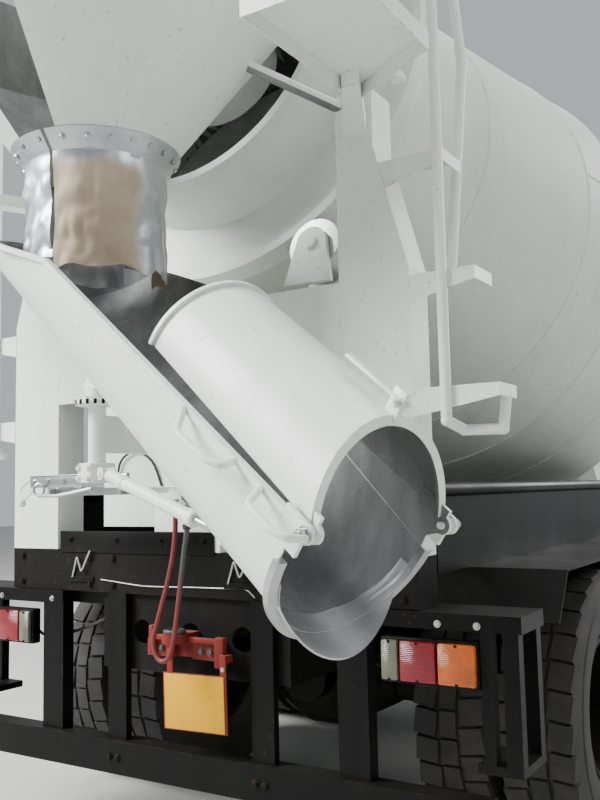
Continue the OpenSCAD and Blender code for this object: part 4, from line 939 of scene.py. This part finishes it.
left_sheet = creased_sheet("skirt_left", 20, 186, SKIRT_LOW + 0.03, SHEET, 3.1, 0.026)
creased_sheet("skirt_right", 189, 346, SKIRT_LOW, STAINED_SHEET, 7.7, 0.022)
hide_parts("skirt_sheets")
collar = []
for i, angle in enumerate(range(28, 350, 17)):
    a = math.radians(angle + 3 * math.sin(7 * i))
    at = (SWIVEL.x + COLLAR_R * math.cos(a), COLLAR_R * math.sin(a), COLLAR_Z + 0.004 * math.sin(5 * i))
    collar.append((at, (math.cos(a), math.sin(a), -0.75)))
fit(bolts("collar_bolts", 0.008, collar), "chassis", STEEL)


# Hand grabs and fold nuts on the chute, in the chute's own directions
for name, route in (
        ("grab_upper", [(0.83, -0.262, 0.341), (0.885, -0.30, 0.31), (1.02, -0.30, 0.325),
                        (1.055, -0.285, 0.335), (1.04, -0.238, 0.341)]),
        ("grab_lower", [(1.142, -0.236, 0.341), (1.184, -0.298, 0.331), (1.274, -0.298, 0.333),
                        (1.312, -0.288, 0.342), (1.318, -0.24, 0.341)])):
    add_rod(name, route, 0.009, 0.012, WHITE, "chute", ON_CHUTE)
for label, side in SIDES:
    fit(joined(f"fold_nut_{label}", [
        turned("part", profile, (FOLD, side * 0.2345, RIM_Z), (0, side, 0), steps, place=ON_CHUTE)
        for profile, steps in (([(0.019, 0), (0.019, 0.004)], 20),
                               ([(0.0145, 0.004), (0.0145, 0.017), (0.0125, 0.019)], 6),
                               ([(0.008, 0.01), (0.008, 0.027), (0.0065, 0.029)], 12))]), "chute", STEEL)


# Rod and lug over the extension's hinge end
LATCH = ON_CHUTE @ Matrix.Translation((FOLD - 0.114, 0, RIM_Z + 0.013 + EXTENSION_R))
fit(joined("latch", [
    blocks("bars", (((-0.2, -0.012, 0.03), (0.012, 0.012, 0.038), 0.002),
                    ((-0.03, -0.008, -0.016), (0.012, 0.008, 0.055), 0.003),
                    ((-0.012, -0.03, 0.02), (0.012, 0.03, 0.03), 0.003)), LATCH),
    bolts("latch_bolts", 0.008, [((0, y, 0.03), UP) for y in (-0.02, 0.02)], LATCH)]), "extension", WHITE)


# Worn sheet laid in the trough's mouth, with a torn upper edge
PATCH_R = TAIL_R - 0.0065
PATCH_TURN = math.radians(75)


def lip_patch():
    def shape(u, v):
        turn = PATCH_TURN * 2 * u
        start = MOUTH - 0.055 + 0.012 * noise.noise(Vector((7 * u, 1, 3))) + 0.03 * u
        radius = PATCH_R - 0.0012 * noise.noise(Vector((6 * u, 6 * v, 2)))
        along = start + (MOUTH + 0.004 - start) * (v + 0.5)
        return along, radius * math.sin(turn), TROUGH_AXIS_Z - radius * math.cos(turn)

    fit(settle(bent_sheet("lip_patch", (60, 12), shape, 0.0015, inside=True), ON_CHUTE), "chute", WORN_LIP)


lip_patch()

# Swivel: square block with its bolts, a disc whose slots are black blocks on its rim (painted shade in place
# of open notches), and the lock lever
spots = [((x, -0.046, z), (0, -1, 0)) for x in (-0.033, 0.027) for z in (1.428, 1.46)]
spots += [((-0.046, y, z), BACK) for y in (-0.03, 0.03) for z in (1.428, 1.46)]
fit(joined("swivel_block", [block("block", (-0.046, -0.046, 1.412), (0.04, 0.046, 1.476), 0.005, ON_SWIVEL),
                            bolts("block_bolts", 0.009, spots, ON_SWIVEL)]), "swivel", WHITE)
SLEEVE, SLOT_COUNT = Vector((SWIVEL.x, 0, 1.66)), 18
add_turned("slot_disc", [(0.044, 0), (0.07, 0.002), (0.073, 0.006), (0.073, 0.016), (0.07, 0.02),
                         (0.044, 0.022)], SLEEVE, UP, 48, WHITE)
# Black blocks on the disc's rim: painted shade where the slots would open
turns = [Matrix.Rotation(math.tau * i / SLOT_COUNT, 4, "Z") for i in range(SLOT_COUNT)]
fit(joined("slot_shade_blocks", [block("slot", (0.066, -0.005, 0.003), (0.0745, 0.005, 0.019), 0.001,
                                Matrix.Translation(SLEEVE) @ turn) for turn in turns]), "chassis", BLACK)
add_rod("lock_lever", [SLEEVE + Vector(step) for step in
                       ((0.03, -0.05, 0.012), (0.05, -0.08, 0.014), (0.052, -0.083, -0.09))],
        0.007, 0.015, WHITE)

# Jack: gland nut, band and the valve with its rubber grip
JACK_FOOT, JACK_HEAD = ON_SWIVEL @ Vector((0.06, 0, 1.44)), ON_CHUTE @ Vector((0.872, 0, -0.02))
JACK_WAY = (JACK_HEAD - JACK_FOOT).normalized()
ACROSS_JACK = JACK_WAY.cross(Vector((0, 0, 1))).normalized()
JACK_UP = ACROSS_JACK.cross(JACK_WAY)
fit(joined("jack_gland", [turned("ring", profile, JACK_FOOT, JACK_WAY, 24) for profile in (
    [(0.0235, 0.47), (0.0255, 0.474), (0.0255, 0.498), (0.0225, 0.503)],
    [(0.0215, 0.1), (0.0235, 0.102), (0.0235, 0.122), (0.0215, 0.124)])]), "jack_tube", WHITE)
GRIP_AT = JACK_FOOT + 0.40 * JACK_WAY + 0.043 * JACK_UP - 0.024 * ACROSS_JACK
add_turned("valve_grip", [(0.009, 0), (0.016, 0.006), (0.019, 0.02), (0.0195, 0.07), (0.016, 0.088),
                          (0.007, 0.094)], GRIP_AT, JACK_WAY, 24, TRIM, "jack_tube")
stem_at = GRIP_AT + 0.02 * JACK_WAY
add_rod("valve_stem", [stem_at - 0.03 * JACK_UP, stem_at + 0.004 * JACK_UP], 0.007, 0, STEEL, "jack_tube")

# Linkage of the drum control: channel, bolts, ring, rod, wire and a white knob
LINK_X = TAIL_X - 0.31
fit(blocks("control_channel", (((LINK_X, 0.20, 1.402), (LINK_X + 0.006, 0.46, 1.444), 0.001),
                               ((LINK_X, 0.20, 1.440), (LINK_X + 0.05, 0.46, 1.446), 0.001),
                               ((LINK_X, 0.20, 1.398), (LINK_X + 0.1, 0.24, 1.404), 0.001),
                               ((LINK_X + 0.04, 0.30, 1.398), (LINK_X + 0.1, 0.34, 1.404), 0.001))),
    "chassis", STEEL)
add_bolts("control_bolts", 0.009, BACK, [(LINK_X, y, 1.423) for y in (0.22, 0.29, 0.37, 0.44)], STEEL)
ring = ring_shape("control_ring", 0.021, 0.0045, 32, 8)
ring.matrix_world = stand((LINK_X - 0.012, 0.40, 1.396), (1, 0.3, 0))
fit(settle(ring), "chassis", STEEL)
add_rod("control_rod", [(LINK_X - 0.012, 0.14, 1.396), (LINK_X - 0.02, 0.3, 1.372),
                        (LINK_X - 0.012, 0.40, 1.375)], 0.0065, 0.04, STEEL)
add_rod("control_wire", [(LINK_X - 0.012, 0.40, 1.415), (LINK_X - 0.03, 0.46, 1.352),
                         (LINK_X - 0.012, 0.50, 1.40), (LINK_X, 0.46, 1.43)], 0.0022, 0.02, STEEL)
add_turned("control_knob", [(0.006, 0), (0.012, 0.005), (0.014, 0.013), (0.012, 0.021), (0.006, 0.026)],
           (LINK_X - 0.032, 0.462, 1.336), (0, 0.2, 1), 20, WHITE)
HOOK_X = TAIL_X - 0.2
add_rod("hook", [(HOOK_X, -0.02, 1.535), (HOOK_X, -0.088, 1.538), (HOOK_X, -0.09, 1.455)],
        0.0065, 0.015, WHITE)

# Wide plate behind the swivel, with a cable arched over it, and a black plate over the posts' feet
add_block("pedestal_plate", (POST_X + 0.002, 0.149, 1.25), (POST_X + 0.01, 0.41, 1.742), 0.002, WHITE)
add_rod("valve_cable", [(POST_X - 0.006, 0.33, 1.42), (POST_X - 0.008, 0.32, 1.50),
                        (POST_X - 0.01, 0.24, 1.545), (POST_X - 0.008, 0.15, 1.50),
                        (POST_X - 0.006, 0.11, 1.40)], 0.0045, 0.06, TRIM)
add_block("foot_plate", (POST_X - 0.006, -0.13, 1.15), (POST_X - 0.0005, 0.64, 1.232), 0.002, BLACK)
add_bolts("foot_bolts", 0.01, BACK, [(POST_X - 0.006, y, 1.2) for y in (-0.08, 0.12, 0.34, 0.58)], BLACK)

# Hooks and a cable on the cross-bar
for label, y in (("right", -0.24), ("left", 0.52)):
    add_rod(f"hook_{label}", [(POST_X - 0.002, y + 0.055, 1.05), (POST_X - 0.012, y + 0.02, 1.135),
                              (POST_X - 0.014, y - 0.005, 1.075), (POST_X - 0.012, y - 0.05, 1.158)],
            0.004, 0.012, STEEL)
    add_block(f"hook_plate_{label}", (POST_X - 0.006, y - 0.06, 1.036), (POST_X + 0.002, y + 0.07, 1.056),
              0.001, BLACK)
add_rod("light_cable", [(POST_X - 0.003, y, z) for y, z in
                        ((0.42, 1.048), (0.2, 1.03), (-0.05, 1.036), (-0.27, 1.038), (-0.3, 1.01))],
        0.0025, 0.05, STEEL)

# Hose fittings: crimped ends and a clamp
for label, y in (("a", -0.09), ("b", -0.15)):
    add_turned(f"hose_end_{label}", [(0.0105, 0), (0.0125, 0.003), (0.0125, 0.032), (0.0105, 0.036)],
               (-3.25, y, 1.352), (0, 0, -1), 20, STEEL)
add_turned("hose_clamp", [(0.0105, 0), (0.015, 0.002), (0.015, 0.018), (0.0105, 0.02)], (-3.25, -0.142, 1.25),
           (0.03, 0.12, 1), 20, TRIM)


# Rear lamps with rounded lenses, cases, screws and wires
LENSES = (("white", 0.79, 0.848, LENS_WHITE), ("red", 0.853, 0.973, LENS_RED),
          ("amber", 0.978, 1.1, LENS_AMBER))


def rear_lamps():
    cases = []
    for label, side in SIDES:
        cases.append(side_block("case", side, (TAIL_X - 0.006, 0.782, 0.78),
                                (TAIL_X + 0.036, 1.106, 0.918), 0.006))
        for name, near, far, finish in LENSES:
            front = side_block(f"lens_{name}_{label}", side, (TAIL_X - 0.024, near, 0.788),
                               (TAIL_X - 0.004, far, 0.911), 0.009)
            fit(front, "chassis", finish)
            add_bolts(f"lens_screws_{name}_{label}", 0.0035, BACK,
                      [(TAIL_X - 0.0245, side * (near + far) / 2, z) for z in (0.7925, 0.9065)], BLACK)
    case = fit(joined("lamp_cases", cases), "chassis", BLACK)
    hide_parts("tail_lamps")
    add_bolts("shelf_bolts", 0.0085, BACK,
              [(TAIL_X, s * y, 0.965) for s in (-1, 1) for y in (0.68, 0.975, 1.1)], STEEL)
    for label, side in SIDES:
        add_rod(f"lamp_wire_{label}", [(TAIL_X + 0.034, side * 0.82, 0.85), (TAIL_X + 0.07, side * 0.8, 0.80),
                                       (TAIL_X + 0.09, side * 0.62, 0.83), (TAIL_X + 0.07, side * 0.43, 0.9)],
                0.006, 0.06, TRIM)


rear_lamps()

# Bolts of the cross-bar and the underrun bar, and the tow bracket's ring and cheeks
add_bolts("cross_bolts", 0.012, BACK, [(POST_X, s * y, z) for s in (-1, 1) for y in (0.36, 0.48, 0.86)
                                       for z in (1.03, 1.13)], DIRTY_BLACK)
add_bolts("underrun_bolts", 0.011, BACK,
          [(TAIL_X - 0.02, s * y, 0.405) for s in (-1, 1) for y in (0.31, 0.35)], DIRTY_BLACK)
add_turned("tow_ring", [(0.023, 0.0), (0.036, 0.0), (0.04, 0.004), (0.04, 0.012), (0.036, 0.016),
                        (0.023, 0.016), (0.023, 0.0)], (-3.15, 0, 0.88), UP, 32, CAST, closed=True)
fit(blocks("tow_cheeks", (((TAIL_X - 0.045, 0.115, 0.80), (TAIL_X - 0.018, 0.135, 0.90), 0.004),
                          ((TAIL_X - 0.045, -0.2, 0.77), (TAIL_X - 0.018, -0.16, 0.875), 0.006),
                          ((TAIL_X - 0.04, -0.17, 0.85), (TAIL_X - 0.018, 0.12, 0.868), 0.004))),
    "chassis", RED)
add_bolts("tow_bolts", 0.011, BACK, [(TAIL_X - 0.02, y, 0.82) for y in (-0.13, -0.09, 0.09, 0.13)], CAST)


# Drum: welds around it, lengthwise seams and a bolted hatch
WELD_OUT = 0.0005
HATCH_AT, HATCH_W, HATCH_L, HATCH_Z = math.radians(205), 0.24, 0.2, 0.4


def drum_radius(height):
    if height < 0:
        return MOUTH_R + (BELLY_R - MOUTH_R) * (height + CONE_LEN) / CONE_LEN
    return BELLY_R if height < BELLY_LEN else BELLY_R + (NOSE_R - BELLY_R) * (height - BELLY_LEN) / NOSE_LEN


def drum_welds():
    for i, height in enumerate((-1.12, -0.36, 0.0, BELLY_LEN / 2, BELLY_LEN, BELLY_LEN + 0.62)):
        weld = ring_shape(f"drum_weld_{i}", drum_radius(height) + WELD_OUT, 0.004, 96, 6, height)
        fit(settle(weld, ON_DRUM), "drum", DRUM_WHITE)
    for i, (low, high, angle) in enumerate(((-1.75, -1.12, 40), (-1.12, -0.36, 150), (-0.36, 0, 260),
                                            (0, 0.55, 95), (0.55, 1.1, 215), (1.1, 1.72, 330))):
        out = Vector((math.cos(math.radians(angle)), math.sin(math.radians(angle)), 0))
        ends = [out * (drum_radius(h) + WELD_OUT) + Vector((0, 0, h)) for h in (low + 0.004, high - 0.004)]
        fit(bent_rod(f"drum_seam_{i}", ends, 0.0035, place=ON_DRUM, sides=2), "drum", DRUM_WHITE)


def drum_hatch():
    def shape(u, v):
        round_u, round_v = u * math.sqrt(1 - 0.42 * v * v), v * math.sqrt(1 - 0.42 * u * u)
        angle = HATCH_AT + HATCH_W * round_u / BELLY_R
        return BELLY_R * math.cos(angle), BELLY_R * math.sin(angle), HATCH_Z + HATCH_L * round_v

    plate = bent_sheet("drum_hatch", (24, 24), shape, 0.012, size=2, offset=1.0)
    fit(settle(plate, ON_DRUM), "drum", DRUM_WHITE)
    studs = []
    for i in range(14):
        turn = math.tau * i / 14
        angle = HATCH_AT + 0.86 * HATCH_W * math.cos(turn) / BELLY_R
        out = Vector((math.cos(angle), math.sin(angle), 0))
        height = HATCH_Z + 0.86 * HATCH_L * math.sin(turn)
        studs.append((out * (BELLY_R + 0.011) + Vector((0, 0, height)), out))
    fit(bolts("hatch_bolts", 0.011, studs, ON_DRUM), "drum", DRUM_WHITE)


drum_welds()
drum_hatch()

# Cab front: grille with slats, window rubbers and wipers
SCREEN_LOW, SCREEN_TOP, ROOF_Z = 1.8, 3.91, 2.82
GRILLE_Y, GRILLE_LOW, GRILLE_TOP = 0.66, 1.17, 1.63
SLAT_STEP, SLAT_LEAN = 0.045, math.radians(28)


def screen_x(z):
    return CAB_FRONT - (CAB_FRONT - SCREEN_TOP) * max(0, z - SCREEN_LOW) / (ROOF_Z - SCREEN_LOW)


def grille():
    y, low, top, face = GRILLE_Y, GRILLE_LOW, GRILLE_TOP, CAB_FRONT + 0.03
    fit(blocks("grille_frame", (((CAB_FRONT, -y, top - 0.03), (face, y, top), 0.006),
                                ((CAB_FRONT, -y, low), (face, y, low + 0.03), 0.006),
                                ((CAB_FRONT, -y, low), (face, -y + 0.03, top), 0.006),
                                ((CAB_FRONT, y - 0.03, low), (face, y, top), 0.006))), "cab", WHITE)
    slats = [block("backing", (CAB_FRONT - 0.001, -0.64, 1.19), (CAB_FRONT + 0.004, 0.64, 1.61), 0.001)]
    for i in range(9):
        z = 1.225 + SLAT_STEP * i
        slat = block("slat", (CAB_FRONT + 0.002, -0.635, z - 0.004), (CAB_FRONT + 0.026, 0.635, z + 0.004),
                     0.002)
        slat.data.transform(Matrix.Translation((CAB_FRONT, 0, z)) @ Matrix.Rotation(SLAT_LEAN, 4, "Y")
                            @ Matrix.Translation((-CAB_FRONT, 0, -z)))
        slats.append(slat)
    slats += [block("rib", (CAB_FRONT + 0.002, y - 0.005, 1.19), (CAB_FRONT + 0.02, y + 0.005, 1.61), 0.002)
              for y in (-0.32, 0, 0.32)]
    fit(joined("grille_slats", slats), "cab", BLACK)


def seal(name, x_at, y, low, top, radius):
    """A rubber strip round a window, from the middle of its lower edge and back."""
    corners = [Vector((x_at(z), side * y, z)) for side, z in ((-1, low), (-1, top), (1, top), (1, low))]
    middle = (corners[0] + corners[-1]) / 2
    add_rod(name, [middle, *corners, middle], radius, 0.05, TRIM, "cab")


grille()
seal("screen_seal", lambda z: screen_x(z) + 0.002, 1.06, 1.86, 2.63, 0.011)
seal("rear_window_seal", lambda z: CAB_BACK - 0.001, 0.84, 1.9, 2.56, 0.009)

for i, y in enumerate((0.52, -0.35)):
    pivot, off = Vector((screen_x(1.83) + 0.002, y, 1.83)), Vector((0.022, 0, 0))
    centre = Vector((screen_x(2.06) + 0.032, y - 0.36, 2.06))
    tip, heel = (Vector((screen_x(z) + 0.02, y + dy, z)) for dy, z in ((-0.08, 2.2), (-0.62, 1.93)))
    fit(joined(f"wiper_{i}", [
        turned("base", [(0.018, 0), (0.018, 0.02), (0.013, 0.028)], pivot, (1, 0, 0.1), 20),
        bent_rod("arm", [pivot + off, pivot.lerp(centre, 0.25) + off, centre], 0.006),
        bent_rod("blade", [heel, heel.lerp(tip, 0.5) + Vector((0.004, 0, 0)), tip], 0.0065)]), "cab", TRIM)


# Both sides of the cab: bumper lamps, swage lines, corner lamps, door fittings, steps and mirror glass
def cab_side(label, side):
    for kind, y, finish in (("head", 0.7, LENS_CLEAR), ("turn", 0.94, LENS_AMBER)):
        at = (NOSE_X - 0.058, side * y, 0.69)
        add_turned(f"{kind}_dish_{label}", [(0.035, 0.004), (0.07, 0.012), (0.088, 0.035), (0.0925, 0.045),
                                            (0.0945, 0.045), (0.0945, 0.052), (0.0905, 0.052)],
                   at, AHEAD, 40, STEEL)
        add_turned(f"{kind}_lens_{label}", [(0.0895, 0.046), (0.0895, 0.05), (0.08, 0.056), (0.055, 0.061),
                                            (0.02, 0.063)], at, AHEAD, 40, finish)
    add_bolts(f"bumper_bolts_{label}", 0.013, AHEAD,
              [(NOSE_X, side * y, z) for y in (0.35, 0.42) for z in (0.62, 0.76)], CAST)
    door, skin, swage = f"door_{label}", (CAB_Y - 0.001, CAB_Y + 0.006), (1.43, 1.452)
    for name, (x0, x1), (y0, y1), (z0, z1), edge, body, finish in (
            ("swage_back", (2.33, 2.985), skin, swage, 0.003, "cab", WHITE),
            ("swage_nose", (3.905, 4.07), skin, swage, 0.003, "cab", WHITE),
            ("corner_lamp", (3.94, 4.06), (CAB_Y - 0.002, CAB_Y + 0.018), (1.5, 1.57), 0.006, "cab",
             LENS_AMBER),
            ("door_swage", (3.015, 3.88), skin, swage, 0.003, door, WHITE),
            ("door_belt", (3.02, 3.87), skin, (1.766, 1.782), 0.003, door, TRIM)):
        fit(side_block(f"{name}_{label}", side, (x0, y0, z0), (x1, y1, z1), edge), body, finish)
    y0, y1 = side * (CAB_Y - 0.001), side * (CAB_Y + 0.022)
    add_rod(f"door_handle_{label}", [(3.06, y0, 1.64), (3.06, y1, 1.64), (3.2, y1, 1.64), (3.2, y0, 1.64)],
            0.008, 0.018, TRIM, door)
    add_turned(f"door_lock_{label}", [(0.014, 0), (0.014, 0.004), (0.011, 0.006)], (3.13, side * CAB_Y, 1.58),
               (0, side, 0), 20, STEEL, door)
    tread = side_block("tread", side, (3.44, 1.0, 0.86), (3.86, 1.17, 0.88), 0.004)
    y = side * 1.1
    hangers = [bent_rod("hanger", [(x, y, 1.06), (x, y, 0.865)], 0.011) for x in (3.46, 3.84)]
    fit(joined(f"cab_step_{label}", [tread, *hangers]), "cab", BLACK)
    mirror = side_block(f"mirror_glass_{label}", side, (3.9165, 1.252, 1.812), (3.921, 1.388, 2.168), 0.002)
    fit(mirror, "cab", STEEL)


for label, side in SIDES:
    cab_side(label, side)

# Beads pressed into the cab's back wall
fit(blocks("back_beads", [((CAB_BACK - 0.006, y - 0.02, 1.2), (CAB_BACK + 0.002, y + 0.02, 1.8), 0.005)
                          for y in (-0.9, -0.6, -0.3, 0, 0.3, 0.6, 0.9)]), "cab", WHITE)


# Tanks: straps, caps and the water gauge
def strap(name, radius, thick, width, at, along, steps):
    ring = [(radius, 0), (radius + thick, 0), (radius + thick, width), (radius, width), (radius, 0)]
    add_turned(name, ring, at, along, steps, STEEL, closed=True)


for i, x in enumerate((1.5, 1.86)):
    strap(f"silencer_strap_{i}", 0.1302, 0.003, 0.03, (x, -0.76, 0.64), AHEAD, 48)
for i, (x, y) in enumerate(((0.6, -0.62), (0.93, -0.62), (0.6, -0.9), (0.93, -0.9))):
    strap(f"air_strap_{i}", 0.1102, 0.003, 0.025, (x, y, 0.525), AHEAD, 48)
for i, x in enumerate((0.62, 1.05)):
    fit(blocks(f"fuel_strap_{i}", (((x, 1.1, 0.45), (x + 0.035, 1.103, 0.93), 0.001),
                                   ((x, 0.49, 0.94), (x + 0.035, 1.09, 0.943), 0.001),
                                   ((x, 0.49, 0.437), (x + 0.035, 1.09, 0.44), 0.001))), "chassis", CAST)
add_turned("fuel_cap", [(0.05, 0), (0.05, 0.012), (0.046, 0.016), (0.046, 0.03), (0.04, 0.036),
                        (0.01, 0.038)], (0.84, 0.95, 0.94), UP, 32, CAST)
for i, y in enumerate((-0.42, 0.42)):
    strap(f"water_strap_{i}", 0.1803, 0.0032, 0.04, (2.12, y, 1.4), (0, 1, 0), 56)
add_turned("water_cap", [(0.04, 0), (0.04, 0.02), (0.03, 0.028), (0.012, 0.04)], (2.12, -0.2, 1.576), UP, 28,
           CAST)
add_rod("water_gauge", [(2.12, -0.7, 1.53), (2.12, -0.722, 1.53), (2.12, -0.722, 1.27), (2.12, -0.7, 1.27)],
        0.006, 0.012, LENS_CLEAR)

# Shear plates that tie subframe and rails, with bolts
RAIL_Y, SHEAR_Y = 0.425, 0.433
for label, side in SIDES:
    plates, spots = [], []
    for x in (-2.6, -1.37, -0.35, 0.3, 1.3):
        plates.append(side_block("plate", side, (x, RAIL_Y, 0.84), (x + 0.14, SHEAR_Y, 1.04)))
        spots += [(x + dx, side * SHEAR_Y, z) for dx in (0.03, 0.11) for z in (0.87, 0.93)]
    fit(joined(f"shear_plates_{label}", plates), "chassis", DIRTY_BLACK)
    add_bolts(f"shear_bolts_{label}", 0.011, (0, side, 0), spots, CAST)


# Stage and light: place, aim, size and power of each lamp
LIGHTS = (("soft_left", (-8, 5, 7), (-3, 0, 1.8), 4, 2300),
          ("soft_right", (-2, -10, 8), (-1, 0, 1.5), 7, 420),
          ("soft_top", (-1, 0, 12), (-1, 0, 0), 8, 1100),
          ("soft_front", (10, -4, 6), (2, 0, 1.5), 6, 900))


def build_stage():
    deselect()
    bpy.ops.mesh.primitive_plane_add(size=60, location=(0, 0, 0))
    floor = bpy.context.object
    floor.name = "floor"
    f = Finish("floor_grey", 0.8)
    f.colour(mixed(f.tree, f.group(WEATHER, Size=0.5)["Clouds"], (0.5, 0.5, 0.48), (0.46, 0.46, 0.44)))
    floor.data.materials.append(f.material)
    world = bpy.data.worlds.new("studio")
    bpy.context.scene.world = world
    world.use_nodes = True
    sky = world.node_tree.nodes["Background"]
    sky.inputs["Color"].default_value = (0.9, 0.95, 1.0, 1)
    sky.inputs["Strength"].default_value = 0.55
    for name, at, aim, size, power in LIGHTS:
        data = bpy.data.lights.new(name, "AREA")
        data.energy, data.size = power, size
        lamp = bpy.data.objects.new(name, data)
        lamp.matrix_world = (Matrix.Translation(at)
                             @ (Vector(aim) - Vector(at)).to_track_quat("-Z", "Y").to_matrix().to_4x4())
        bpy.context.scene.collection.objects.link(lamp)


build_stage()
